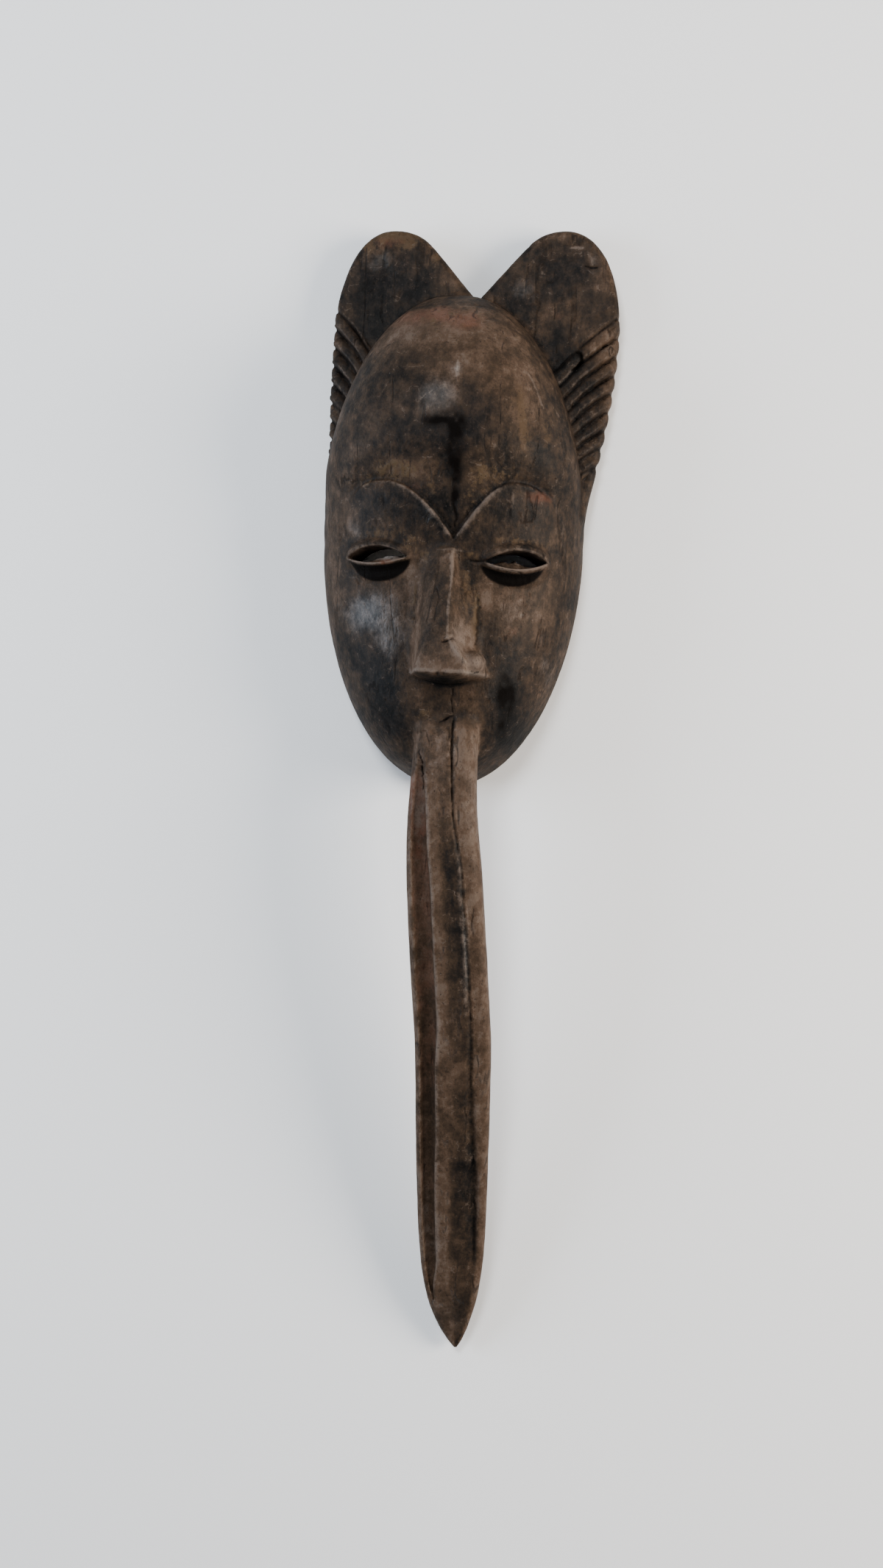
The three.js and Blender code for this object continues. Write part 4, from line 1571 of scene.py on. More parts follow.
STAINS: dict[str, dict[Zone, list[Patch]]] = {
    "dust_and_highlight": {
        Zone.FACE: spots(
            (-6, 228, 28, 12), (16, 216, 20, 11, 0.6), (8, 202, 24, 7, 0.8), (34, 200, 10, 16, 0.45),
            (-24, 216, 14, 10, 0.6), (36, 178, 5, 16, 0.5), (47, 182, 7, 20, 0.2), (-58, 150, 7, 60, 0.15),
            (-62, 92, 5, 40, 0.4), (-14, 104, 6, 10, 0.6), (-33, 176, 8, 10, 0.25), (-16, 80, 5, 24, 0.45),
            (20, 92, 5, 16, 0.5), (30, 92, 16, 8, 0.5), (44, 104, 10, 7, 0.45), (-44, 96, 14, 6, 0.45),
            (16, 38, 7, 12, 0.5), (-14, 44, 6, 10, 0.4), (36, 80, 12, 10, 0.65), (-52, 132, 7, 8, 0.4),
            # The spot at (4, 201) is a painted highlight on the dome, not dust.
            (40, 60, 8, 8, 0.1), (46, 50, 5, 9, 0.15), (4, 201, 3, 4, 0.8), (-24, 152, 15, 5, 0.7),
            (0, 40, 8, 8, 0.3), (20, 149, 7, 6, 0.4), (-33, 107, 9, 2.2, 0.9),
        ),
        Zone.CREST: spots(
            (72, 258, 6, 18, 0.6), (48, 280, 22, 4, 0.4), (-50, 279, 10, 4, 0.4), (18, 262, 5, 10, 0.35),
            (-6, 260, 7, 12, 0.35), (-2, 245, 22, 3, 0.6), (70, 224, 8, 12, 0.6), (77, 208, 5, 30, 0.45),
            (-64, 226, 5, 10, 0.5), (44, 240, 5, 8, 0.35), (56, 240, 4, 6, 0.3), (-60, 176, 5, 20, 0.3),
            (58, 274, 6, 1.6, 0.7), (65, 268, 2, 6, 0.5),
        ),
        Zone.NOSE: spots(
            (11, 70, 6, 13), (17, 58, 8, 8), (7, 100, 4, 16, 0.35), (-12, 80, 3.4, 26, 0.9),
            (-6, 59, 11, 6, 0.6), (3, 55, 16, 4, 0.7), (2, 108, 7, 7, 0.6),
        ),
        Zone.BEAK: spots(
            (2, 8, 10, 22, 0.75), (-2, -20, 6, 18, 0.6), (8, -128, 9, 26, 0.65), (2, -70, 8, 26, 0.3),
            (12, -175, 6, 34, 0.35), (12, -262, 12, 26, 0.45), (-8, -16, 3.5, 16, 0.7),
            (-2, -218, 4, 18, 0.4), (6, -236, 6, 16, 0.4),
        ),
    },
    "soot_and_shade": {
        Zone.FACE: spots(
            (-14, 172, 14, 7, 0.5), (3, 167, 7, 11, 0.8), (3, 153, 6, 7, 0.5), (-28, 168, 8, 8, 0.2),
            (4.2, 138, 4, 8, 0.6), (-30, 137, 15, 7, 0.5), (-10, 131, 9, 6, 0.75), (-2, 124, 6, 5, 0.5),
            (28, 135, 12, 8, 0.15), (45, 136, 8, 8, 0.4), (14, 122, 9, 5, 0.4), (-33, 55, 12, 12, 0.6),
            (-28, 40, 10, 12, 0.7), (-24, 28, 8, 9, 0.6), (31.5, 44, 6, 10, 1.3), (33, 27, 8, 9, 1.3),
            (34, 60, 8, 8, 0.4), (-44, 66, 5, 12, 0.4), (24, 74, 5, 10, 0.35), (-30, 196, 14, 6, 0.4),
            (-16, 206, 12, 4, 0.45), (20, 182, 4, 6, 0.4), (48, 160, 6, 12, 0.35), (22, 208, 5, 4, 0.45),
            (30, 160, 5, 12, 0.4), (14, 172, 6, 12, 0.4), (45, 160, 6, 10, 0.4), (56, 180, 4, 10, 0.3),
            (60, 132, 5, 26, 0.2),
        ),
        Zone.CREST: spots(
            (-46, 250, 14, 18, 0.8), (-22, 252, 7, 8, 0.8), (-34, 262, 14, 8, 0.4),
            (-40, 230, 12, 12, 0.45), (50, 262, 16, 12, 0.5), (30, 246, 10, 8, 0.5), (50, 222, 12, 12, 0.6),
            (58, 208, 8, 10, 0.5), (61, 218, 2.5, 3, 0.8), (-62, 212, 5, 8, 0.5), (-60, 196, 6, 14, 0.3),
            (66, 178, 6, 20, 0.4),
        ),
        # The nose patch at (4, 48.8) is painted shade on the nose's underside, partly soot.
        Zone.NOSE: spots((0, 92, 3, 12, 0.3), (4, 48.8, 14, 2.8, 1.3)),
        Zone.BEAK: spots((9, -48, 3, 16, 0.25), (10, -84, 4, 14, 0.2)),
    },
    "ochre": {
        Zone.FACE: spots(
            (34.5, 186, 3, 8, 0.9), (37, 172, 2.6, 9), (48, 172, 2.0, 8, 0.5), (-24, 153, 13, 4, 0.7),
            (20, 150, 6, 6, 0.7), (-6, 143, 3, 4, 0.5), (-33, 121.5, 14, 2.6, 0.5),
            (36, 119.5, 13, 2.6, 0.45), (-16, 117, 5, 3, 0.5), (16, 82, 1.8, 14, 0.6),
        ),
        Zone.CREST: spots(
            (-34, 279, 16, 4.0, 1.2), (-49, 274, 4, 4, 0.7), (-14, 268, 4, 6, 0.5), (-28, 274, 4, 3, 0.6),
            (-30, 232, 8, 3, 0.5), (-8, 248, 8, 2, 0.5),
        ),
        Zone.NOSE: spots((12, 98, 3.0, 14, 0.7), (16.5, 80, 2.2, 9, 0.7)),
    },
    "red": {
        Zone.FACE: spots(
            (45, 142, 6, 3.2, 0.8), (36, 76, 5, 4, 0.45), (-12, 231, 18, 7, 0.85), (8, 226, 8, 5, 0.7),
            (-18, 144, 8, 2, 0.3),
        ),
        Zone.CREST: spots((-38, 277, 11, 3.4, 0.65), (50, 238, 2, 3, 0.4)),
        Zone.NOSE: spots((4.5, 113, 3, 1.2, 0.35)),
        Zone.BEAK: spots(
            (-9, -12, 3.5, 15, 0.9), (-6, -22, 3, 6, 0.9), (-7, -34, 3, 6, 0.8), (-10, -2, 3, 14, 0.5),
        ),
    },
    "bare": {
        # A painted highlight on the dome at (4, 201).
        Zone.FACE: spots((4, 201, 2.4, 3.4, 0.8)),
        Zone.NOSE: spots((10, 70, 4, 9, 0.9), (18, 58.5, 6, 5), (-4, 58, 9, 3, 0.25), (2, 110, 6, 4, 0.3)),
        Zone.BEAK: spots(
            (4, 20, 5, 8, 0.35), (0, 10, 4, 8, 0.3), (20, -6, 7, 34, 0.5), (-8, -14, 3.4, 15, 0.8),
            (6, -236, 6, 14, 0.45), (-1, -218, 3, 16, 0.5), (5, -122, 6, 10, 0.35), (25, -110, 5, 40, 0.25),
            (26, -200, 4, 40, 0.25),
        ),
    },
    "black": {
        Zone.FACE: spots(
            (31.5, 45, 5, 11, 0.95), (3.0, 176, 8, 7, 0.75), (4.6, 164, 4.6, 8, 0.9),
            (4.8, 151, 3.6, 7, 0.9), (4.9, 139, 2.4, 6, 0.9), (-8, 174, 7, 5, 0.4), (31, 26, 5, 7, 0.5),
            (-30, 36, 6, 10, 0.3),
        ),
    },
    "polish": {
        Zone.FACE: spots(
            (-37, 84, 13, 10), (-25, 70, 8, 10, 0.7), (-6, 188, 10, 8, 0.85), (4, 201, 4, 4, 0.9),
            (32, 84, 14, 10, 0.35), (50, 60, 4, 9, 0.4), (-10, 132, 9, 5, 0.5), (-44, 124, 8, 6, 0.3),
            (-30, 180, 16, 14, 0.15),
        ),
        Zone.CREST: spots((-40, 266, 9, 6, 0.45), (30, 252, 7, 7, 0.5), (66, 266, 3, 7, 0.5)),
        Zone.NOSE: spots((13, 66, 6, 14, 0.2)),
        Zone.BEAK: spots((17.5, -84, 2.5, 22, 0.8), (6, -120, 8, 60, 0.2), (10, -270, 10, 14, 0.7)),
    },
}


class Bench(Tree):
    """A material's node tree under construction."""

    def __init__(self, material: Material) -> None:
        """Clears the tree, reads the object's own coordinates and makes its two main noises."""
        self.tree = material.node_tree
        self.tree.nodes.clear()
        self.place = self.node("ShaderNodeTexCoord").outputs["Object"]
        self.mottle = self.noise(80, 9, (1.0, 0.85, 1.0), 0.74)
        self.smear = self.noise(230, 7, (1.0, 0.75, 1.0), 0.7)

    def attribute(self, name: str) -> Socket:
        """A number stored on the mesh."""
        return self.node("ShaderNodeAttribute", attribute_name=name).outputs["Fac"]

    def noise(self, scale: float, detail: float, stretch: Triple, rough: float) -> Socket:
        """Noise stretched along the grain, in waves to the metre.

        Args:
            scale: how many waves a metre holds.
            detail: how many finer sizes it has.
            stretch: how close together it lies each way.
            rough: how strong the finer sizes are.

        Returns:
            The noise, from 0 to 1.
        """
        place = self.node("ShaderNodeMapping", {"Vector": self.place, "Scale": stretch}).outputs[0]
        waves = {"Vector": place, "Scale": scale, "Detail": detail, "Roughness": rough}
        return self.node("ShaderNodeTexNoise", waves).outputs["Fac"]

    def weighed(self, base: float, parts: list[tuple[Socket, float]]) -> Socket:
        """A base with several numbers added, each by its own weight.

        Args:
            base: the number they are added to.
            parts: the numbers, each with its weight.

        Returns:
            The sum.
        """
        total = base
        for value, weight in parts:
            total = self.math("ADD", total, self.times(value, weight))
        return total

    def even(self, waves: Socket) -> Socket:
        """Noise spread evenly between -0.5 and 0.5."""
        return self.math("SUBTRACT", self.ramp(waves, 0.34, 0.66), 0.5)

    def hairs(self, scale: float, stretch: Triple, full: float, gone: float) -> Socket:
        """Thin curved lines, drawn where noise crosses its middle.

        Args:
            scale: how many waves a metre holds.
            stretch: how close together they lie each way.
            full, gone: how far from the line it is full, and gone.

        Returns:
            The cover, from 0 to 1.
        """
        waves = self.noise(scale, 3, stretch, 0.5)
        off = self.math("ABSOLUTE", self.math("SUBTRACT", waves, 0.5), 0.0)
        return self.ramp(off, gone, full)

    def scale(self, tone: Socket, tones: tuple[tuple[float, Triple], ...]) -> Socket:
        """The colour that belongs to a tone, between the colours of a scale.

        Args:
            tone: where on the scale.
            tones: places on the scale and their colours.

        Returns:
            The colour.
        """
        node = self.node("ShaderNodeValToRGB", {0: tone})
        elements = node.color_ramp.elements
        elements.remove(elements[1])
        elements[0].position, elements[0].color = tones[0][0], (*tones[0][1], 1.0)
        for place, colour in tones[1:]:
            elements.new(place).color = (*colour, 1.0)
        return node.outputs[0]

    def ramp(self, value: object, low: float, high: float) -> Socket:
        """A smooth rise from 0 to 1 between two values."""
        rise = {"Value": value, "From Min": low, "From Max": high}
        return self.node("ShaderNodeMapRange", rise, interpolation_type="SMOOTHSTEP").outputs["Result"]

    def band(self, cover: Socket, waves: Socket, ragged: float, most: float) -> Socket:
        """A cover whose edge is made ragged by waves, and its most."""
        pushed = self.math("ADD", cover, self.times(self.even(waves), ragged))
        return self.times(self.ramp(pushed, 0.15, 0.95), most, self.ramp(cover, 0.0, 0.2))

    def mix(self, first: object, second: object, share: object) -> Socket:
        """One colour laid over another."""
        return self.node("ShaderNodeMix", {0: share, 6: first, 7: second}, data_type="RGBA").outputs[2]

    def finish(self, colour: Socket, roughness: Socket, relief: Socket, polish: Socket) -> None:
        """Dresses the surface shader."""
        bump = self.node("ShaderNodeBump", {"Strength": 0.9, "Distance": 0.0006, "Height": relief}).outputs[0]
        shader = self.node("ShaderNodeBsdfPrincipled", {
            "Base Color": colour, "Roughness": roughness, "Specular IOR Level": 0.03, "Normal": bump,
            "Coat Weight": polish, "Coat Roughness": 0.31, "Coat Normal": bump,
        })
        self.node("ShaderNodeOutputMaterial", {"Surface": shader.outputs[0]})


@dataclass(frozen=True)
class DarkPatina:
    """The finish of the wood: brown to black patina, worn edges, crust in the cuts and bare spots, with
    painted shade, painted glints and painted highlights.
    """

    tones: tuple[tuple[float, Triple], ...] = (
        (0.00, (0.0030, 0.0028, 0.0027)),
        (0.18, (0.0086, 0.0070, 0.0061)),
        (0.40, (0.0200, 0.0137, 0.0098)),
        (0.62, (0.0352, 0.0226, 0.0147)),
        (0.85, (0.0620, 0.0388, 0.0258)),
        (1.00, (0.0850, 0.0590, 0.0430)),
    )
    ochre: Triple = (0.0620, 0.0380, 0.0205)
    red: Triple = (0.0950, 0.0380, 0.0230)
    bare: Triple = (0.1180, 0.0900, 0.0730)
    crust: Triple = (0.0620, 0.0400, 0.0220)
    # Near black, for cracks and for the painted shade under the lids.
    crack_and_shade_black: Triple = (0.0020, 0.0014, 0.0011)
    # The colour of the painted glints: specks and spots of painted highlight.
    painted_glint: Triple = (0.1900, 0.1700, 0.1500)

    def material(self) -> Material:
        """The wood's material, from its nodes."""
        made = bpy.data.materials.new("carved_wood_patina")
        made.use_nodes = True
        bench = Bench(made)
        fibre = bench.noise(620, 6, (1.0, 0.3, 1.0), 0.62)
        speck = bench.noise(620, 4, (1.0, 0.8, 1.0), 0.7)
        splits = bench.hairs(75, (1.0, 0.1, 1.0), 0.006, 0.022)
        checks = bench.times(splits, bench.ramp(bench.mottle, 0.5, 0.6))
        scores = bench.hairs(120, (0.5, 0.9, 1.0), 0.003, 0.012)
        scratches = bench.times(scores, bench.ramp(bench.smear, 0.52, 0.6))
        colour = bench.scale(self.tone(bench, fibre), self.tones)
        marks = [
            (self.tones[0][1], bench.times(checks, 0.6)),
            (self.bare, bench.times(scratches, 0.35)),
            (self.tones[3][1], bench.times(bench.ramp(speck, 0.57, 0.70), 0.55)),
            (self.tones[1][1], bench.times(bench.ramp(speck, 0.43, 0.31), 0.6)),
        ]
        for over, share in self.stains(bench) + marks + self.cuts(bench):
            colour = bench.mix(colour, over, share)
        hollows = bench.attribute("hollows")
        roughness = bench.weighed(0.68, [(bench.even(bench.mottle), -0.12), (hollows, 0.15)])
        relief = bench.weighed(0.0, [(fibre, 0.3), (speck, 0.6), (bench.smear, 0.7), (checks, -0.5)])
        bench.finish(colour, roughness, relief, self.gloss(bench))
        return made

    def tone(self, bench: Bench, fibre: Socket) -> Socket:
        """How light the patina is, from soot to dust, darker in the hollows as painted shade.

        Args:
            bench: the material's tree.
            fibre: fine noise along the grain.

        Returns:
            The tone, from 0 to 1.
        """
        dust_and_highlight = bench.times(bench.attribute("dust_and_highlight"), bench.weighed(1.0, [(bench.even(bench.smear), -0.5)]))
        soot_and_shade = bench.times(bench.attribute("soot_and_shade"), bench.weighed(1.0, [(bench.even(bench.mottle), 0.9)]))
        # Darker in hollows is painted shade; lighter on convex edges is wear.
        return bench.weighed(0.46, [
            (dust_and_highlight, 0.44), (soot_and_shade, -0.46), (bench.even(bench.mottle), 0.40), (bench.even(bench.smear), 0.38),
            (bench.even(fibre), 0.06), (bench.attribute("hollows"), -0.18), (bench.attribute("edges"), 0.12),
        ])

    def stains(self, bench: Bench) -> list[tuple[Triple, Socket]]:
        """The stains, crust and bare places over the patina, with a painted highlight on the brow pads' rims
        and on the ledge inside the left slit.

        Args:
            bench: the material's tree.

        Returns:
            Colours, the lowest first, each with how far it covers the rest.
        """
        bare, brow = bench.attribute("bare"), bench.attribute("brow")
        # Pale band along the brow pads' rims: partly wear, partly painted highlight.
        rolled = bench.times(
            bench.ramp(brow, 0.5, -0.9), bench.ramp(brow, -4.0, -1.2), bench.attribute("brow_rim_wear_and_highlight"))
        return [
            (self.ochre, bench.band(bench.attribute("ochre"), bench.smear, 0.6, 0.75)),
            (self.red, bench.band(bench.attribute("red"), bench.mottle, 0.5, 0.6)),
            (self.crust, bench.band(bench.attribute("caked"), bench.smear, 0.8, 0.85)),
            (self.bare, bench.band(bench.attribute("edges"), bench.smear, 0.8, 0.5)),
            (self.bare, bench.band(bare, bench.smear, 0.4, 0.75)),
            # Where bare runs above 1 it takes the painted glint colour: the painted highlight on the slit's
            # ledge.
            (self.painted_glint, bench.times(bench.ramp(bare, 1.0, 1.8), 0.8)),
            (self.bare, bench.band(rolled, bench.smear, 0.4, 0.62)),
        ]

    def cuts(self, bench: Bench) -> list[tuple[Triple, Socket]]:
        """Painted glints, cracks, the painted shade under the lids, partly soot, and the lids' worn rims,
        partly painted highlight.

        Args:
            bench: the material's tree.

        Returns:
            Colours, the lowest first, each with how far it covers the rest.
        """
        glint_noise = bench.noise(1100, 2, (1.0, 1.0, 1.0), 0.5)
        rim = bench.attribute("rim")
        lid = bench.times(bench.ramp(rim, -0.5, 0.0), bench.ramp(rim, 1.6, 0.7), bench.attribute("rim_wear_and_highlight"))
        return [
            # Painted glints: tiny specks of painted highlight scattered over the wood.
            (self.painted_glint, bench.times(bench.ramp(glint_noise, 0.74, 0.82), 0.6)),
            (self.crack_and_shade_black, bench.band(bench.attribute("cracks"), bench.smear, 0.35, 1.0)),
            # Painted shade under the lower lids, partly soot.
            (self.crack_and_shade_black, bench.ramp(bench.attribute("shade"), -0.2, 0.9)),
            # The lids' pale rims: partly wear, partly painted highlight.
            (self.bare, bench.band(lid, bench.smear, 0.3, 0.7)),
        ]

    def gloss(self, bench: Bench) -> Socket:
        """How polished the wood is: a little where it is clean, and more where it is rubbed.

        Args:
            bench: the material's tree.

        Returns:
            The polish's share.
        """
        streaked = bench.weighed(0.75, [(bench.even(bench.smear), 0.5)])
        polish = bench.times(bench.band(bench.attribute("polish"), bench.mottle, 0.45, 1.0), streaked)
        sound = bench.ramp(bench.attribute("cracks"), 0.9, 0.3)
        clean = bench.times(sound, bench.ramp(bench.attribute("shade"), 0.9, -0.2))
        return bench.weighed(0.0, [(clean, 0.08), (polish, 0.64)])


FACE_LINES = (
    ([(4.6, 142), (4.8, 137), (5.4, 131), (5.2, 125)], 0.9, -0.4, 1.0, 0.8),
    ([(-3.4, 113.6), (3, 114.2), (10, 113.4)], 0.8, 0.15, 0.5, 0.0, 0.55),
    ([(1.8, 67.2), (4.4, 68.0), (7.6, 69.8)], 0.45, -0.9, 0.0, 1.0),
    ([(3.6, 69.2), (7.0, 71.0)], 0.5, 0.3, 0.0, 0.0, 1.0),
    # Pale line from the nick down the ridge to the wing: partly wear, partly painted highlight.
    ([(4.4, 72), (7.0, 66.5), (10.5, 62), (14, 58.5)], 0.6, 0.1, 0.2, 0.0, 0.7),
    ([(-13.8, 97), (-12.9, 90), (-14.2, 83), (-13.4, 76)], 0.6, -0.5, 1.4, 0.5),
    ([(-14.8, 90), (-15.6, 85)], 0.35, -0.4, 0.8, 0.6),
    ([(16.4, 92), (17.4, 85), (17.2, 76), (17.4, 68)], 0.8, -0.6, 1.0, 0.6),
    ([(12.4, 109.4), (15.5, 108.8), (20.5, 109.2)], 0.6, -0.7, 0.3, 0.9),
    ([(12.0, 101), (13.4, 95)], 0.5, -0.5, 0.8, 0.7),
    ([(-10.5, 112), (-12.6, 107)], 0.45, -0.4, 0.8, 0.5),
    ([(6.6, 47), (6.2, 41), (6.4, 35)], 0.45, -0.6, 0.4, 0.8),
    ([(-38, 46), (-35, 38), (-29, 31), (-21, 21)], 0.9, -0.35, 1.0, 0.5),
    ([(-27.5, 27.5), (-22, 22)], 0.4, 0.1, 0.4, 0.0, 0.6),
    ([(33, 144), (33.4, 138), (32.2, 131)], 0.7, 0.3, 0.8, 0.0, 0.45),
    ([(29, 140), (33, 137), (36.5, 141)], 0.6, 0.25, 0.5, 0.0, 0.35),
    ([(-30.5, 139), (-29.6, 135)], 1.0, -0.3, 0.5, 0.7),
    ([(-45.8, 137), (-43.6, 133.5)], 0.5, -0.3, 0.4, 0.5),
    ([(37, 203), (42, 195), (46, 184)], 0.45, 0.15, 0.6, 0.0, 0.6),
    ([(-14, 184), (-10, 188), (-5, 190.5)], 0.3, 0.0, 0.4, 0.0, 0.8),
    ([(-12, 191), (-8, 184), (-4, 181)], 0.25, 0.0, 0.5, 0.0, 0.5),
    # A painted highlight on the dome at (4, 201).
    ([(4, 205), (4.6, 197)], 0.9, 0.15, 0.6, 0.0, 0.8),
    ([(49, 67), (49.6, 58)], 0.35, 0.0, 0.4, 0.0, 0.6),
    ([(50.5, 150), (56, 132), (58, 112)], 0.6, 0.1, 1.2, 0.0, 0.35),
    ([(-49.5, 101.5), (-45, 101.0), (-41, 98.8)], 0.5, 0.0, 0.3, 0.0, 0.5),
    # Pale lines along the nose's ridge: partly wear, partly painted highlight.
    ([(4.6, 113), (4.8, 104), (4.6, 95)], 0.8, 0.2, 0.3, 0.0, 1.0),
    ([(4.6, 97), (4.2, 84), (4.6, 73)], 0.7, 0.1, 0.3, 0.0, 0.7),
    # Pale lines along the nose's lower edge: partly wear, partly painted highlight.
    ([(-15, 54.2), (-6, 54.0), (0.4, 53.8)], 0.9, 0.0, 0.1, 0.0, 1.0),
    ([(3, 53.8), (14, 53.6), (23, 53.4)], 0.9, 0.0, 0.1, 0.0, 1.0),
)


@dataclass
class CarvedMask:
    """The mask's one piece of wood, from its field to its dressed mesh."""

    finish: DarkPatina = DarkPatina()
    most_triangles: int = 195_000

    def carve(self) -> MaskBody:
        """Builds the field from its parts."""
        crest = Crest()
        self.strands = Strands(crest)
        self.strands.build(self.wood)
        left_eye = Eye(-33.4, 110.4, slit_half=16.4)
        right_eye = Eye(34.9, 109.4, rise_up=5.2, rise_down=3.7, swing=0.035, ledge_at=-2.0, rim=1.2)
        beak = Beak()
        eyes = (left_eye, right_eye)
        return MaskBody(FaceDome(), crest, self.strands, eyes, Nose(), beak, self.worn(beak), self.combed())

    def combed(self) -> Wear:
        """Draws the lines between the strands, which stop at the forehead."""
        wear = Wear()
        for number, (side, groove) in enumerate(self.strands.grooves()):
            if side is Side.RIGHT and number == self.strands.count + 1:
                groove = groove[1:]
            wear.line(groove, 0.7, -0.75, 0.3, 0.65)
            wear.nibble(*groove[-1], 2.0, 1.3)
            crest_line = [(x + side.value * 0.4, y + 2.6) for x, y in groove[:-1]]
            wear.line(crest_line, 0.5, 0.25, 0.4, 0.0, 0.45)
        return wear

    def worn(self, beak: Beak) -> Wear:
        """Draws the cracks, chips, crust and peck marks that show.

        Args:
            beak: the beak, whose channel has a worn edge.

        Returns:
            The wear.
        """
        wear = Wear()
        self.crack_face(wear)
        self.crack_beak(wear, beak)
        self.chip_crest(wear)
        wear.crust(spots(
            (-25, 152, 14, 4.5), (-40, 147, 6, 3.5, 0.7), (20, 149, 7, 6), (14, 140, 4, 6, 0.8),
            (-10, 144, 4, 4, 0.6), (30, 152, 8, 3, 0.5), (-33, 122, 14, 2.2, 0.5),
            (36, 121, 14, 2.2, 0.45), (-15, 116, 4, 4, 0.8), (13.5, 112, 3, 4, 0.7),
            (-5, 139, 3, 4, 0.5), (-8.5, 111, 4, 3, 0.7), (-21, 153, 9, 4, 0.4),
        ), 0.5, 1.25, 3)
        wear.crust(spots(
            (-14, 92, 1.5, 14, 0.9), (-14.5, 74, 1.4, 8, 0.6), (16.5, 86, 1.8, 14),
            (-10, 34, 6, 2.4, 0.7), (10, 33, 5, 2, 0.5),
        ), 0.5, 1.5, 8)
        wear.crust(spots((0, 228, 32, 14, 0.45), (-2, 246, 24, 3, 0.5), (-38, 278, 14, 4, 0.6)), 0.3, 2.6, 12)
        return wear

    def crack_face(self, wear: Wear) -> None:
        """The crack over the brows' meeting point, the nick in the nose and cracks beside it.

        Args:
            wear: what they are drawn on.
        """
        for dab in ((4.0, 150, 4.6, 4.0), (4.6, 144, 3.2, 4.0), (5.0, 138, 2.0, 4.0), (5.1, 132, 1.0, 3.6)):
            wear.dab(*dab, -0.35, 0.5)
        for row in FACE_LINES:
            wear.line(*row)
        wear.dab(0.8, 52.8, 1.1, 0.9, -0.8, 0.6)
        wear.dab(3.8, 52.9, 0.9, 0.8, -0.6, 0.6)
        wear.dab(48.1, 142, 3.4, 2.2, -0.4)
        wear.dab(3.6, 156.4, 1.6, 1.0, 0.5)

    def crack_beak(self, wear: Wear, beak: Beak) -> None:
        """Cracks across the beak's root and down its channel, pale lines on the rib's edges, partly wear and
        partly painted highlight, and the pecked rib.

        Args:
            wear: what they are drawn on.
            beak: the beak.
        """
        wear.line([(-0.4, 30.6), (2.8, 31.6), (6.2, 33.4)], 0.6, -0.7, 0.9, 0.9)
        wear.line([(-8.0, 30.2), (-5.4, 32.0), (-2.6, 31.6)], 0.4, -0.4, 0.9, 0.5)
        wear.line([(2.4, 28.6), (5.4, 29.4)], 0.4, -0.4, 0.6, 0.6)
        wear.line([(-8.6, 17), (-7.8, 11), (-6.4, 4), (-5.4, -3)], 0.5, -0.6, 0.8, 0.9)
        wear.line([(-10.4, 23), (-10.2, 12), (-10.8, 2)], 0.5, 0.1, 0.5, 0.0, 0.4)
        # Pale line along the rib's left edge: partly wear, partly painted highlight.
        edge = beak.along(beak.channel_right, np.linspace(4, -252, 40))
        for piece in range(0, 36, 6):
            run = [(x + 0.9, y) for x, y in edge[piece:piece + 8]]
            wear.line(run, 0.8, 0.1, 0.4, 0.0, 0.5)
        # Pale line along the rib's right edge, where the rib shows a sheen: a painted highlight.
        strip = [(13.0, -28), (13.8, -54), (15.5, -69), (17.2, -83), (17.6, -98), (18.1, -114)]
        wear.line(strip, 1.0, 0.1, 0.2, 0.0, 0.45)
        wear.line([(21.5, -58), (20.2, -66), (21.4, -74)], 0.5, -0.4, 0.8, 0.7)
        wear.line([(17.6, -158), (18.8, -164)], 0.7, -0.5, 0.6, 0.7)
        pecks = (
            ((0, 14, 7, 14), 150, 0.75, -0.42), ((2, 24, 6, 6), 40, 0.9, -0.5),
            ((4, -12, 6, 14), 60, 0.7, -0.3), ((20.5, -140, 1.6, 34), 40, 0.8, -0.5),
            ((5, -120, 10, 50), 60, 0.9, -0.2), ((-5, -30, 4, 18), 30, 0.8, -0.4),
        )
        for seed, (place, *look) in enumerate(pecks, 21):
            wear.pecked(Patch(*place), *look, seed)

    def chip_crest(self, wear: Wear) -> None:
        """Chips and nicks along the lobes' tops, the gouge beside the right strands and scattered dents.

        Args:
            wear: what they are drawn on.
        """
        wear.line([(62.5, 264.6), (65.5, 263.6), (69.0, 264.0)], 0.5, -0.8, 0.3, 1.0)
        wear.line([(54.5, 273.6), (58, 274.2), (61.5, 273.6)], 0.7, 0.1, 0.3, 0.0, 0.9)
        wear.line([(63.4, 272), (65.8, 268), (66.6, 264.6)], 0.8, 0.1, 0.4, 0.0, 0.5)
        wear.line([(63.5, 262.6), (66.5, 260.4)], 0.6, 0.1, 0.4, 0.0, 0.7)
        wear.dab(66.5, 268.5, 2.2, 4.0, -0.5)
        wear.dab(56.5, 275.0, 5.0, 1.4, -0.5)
        wear.dab(57.0, 266.5, 2.2, 1.6, -0.4)
        wear.dab(-25.8, 275.5, 2.4, 1.8, -0.7)
        wear.dab(-17.6, 270.6, 2.0, 1.4, -0.8)
        gouge = [(59.4, 220.6), (61.6, 219.2), (62.0, 216.4), (60.2, 213.4), (57.4, 211.4)]
        wear.line(gouge, 0.6, -1.3, 0.2, 1.0)
        wear.line([(-16, 247.8), (-9, 248.9), (-2.6, 248.2)], 0.5, -0.6, 0.4, 0.8)
        for seed, patch in enumerate(spots((-34, 258, 20, 18), (50, 254, 20, 20), (10, 222, 30, 18))):
            wear.pecked(patch, 26, 1.3, -0.4, 40 + seed)
            wear.pecked(patch, 18, 0.9, 0.4, 50 + seed)

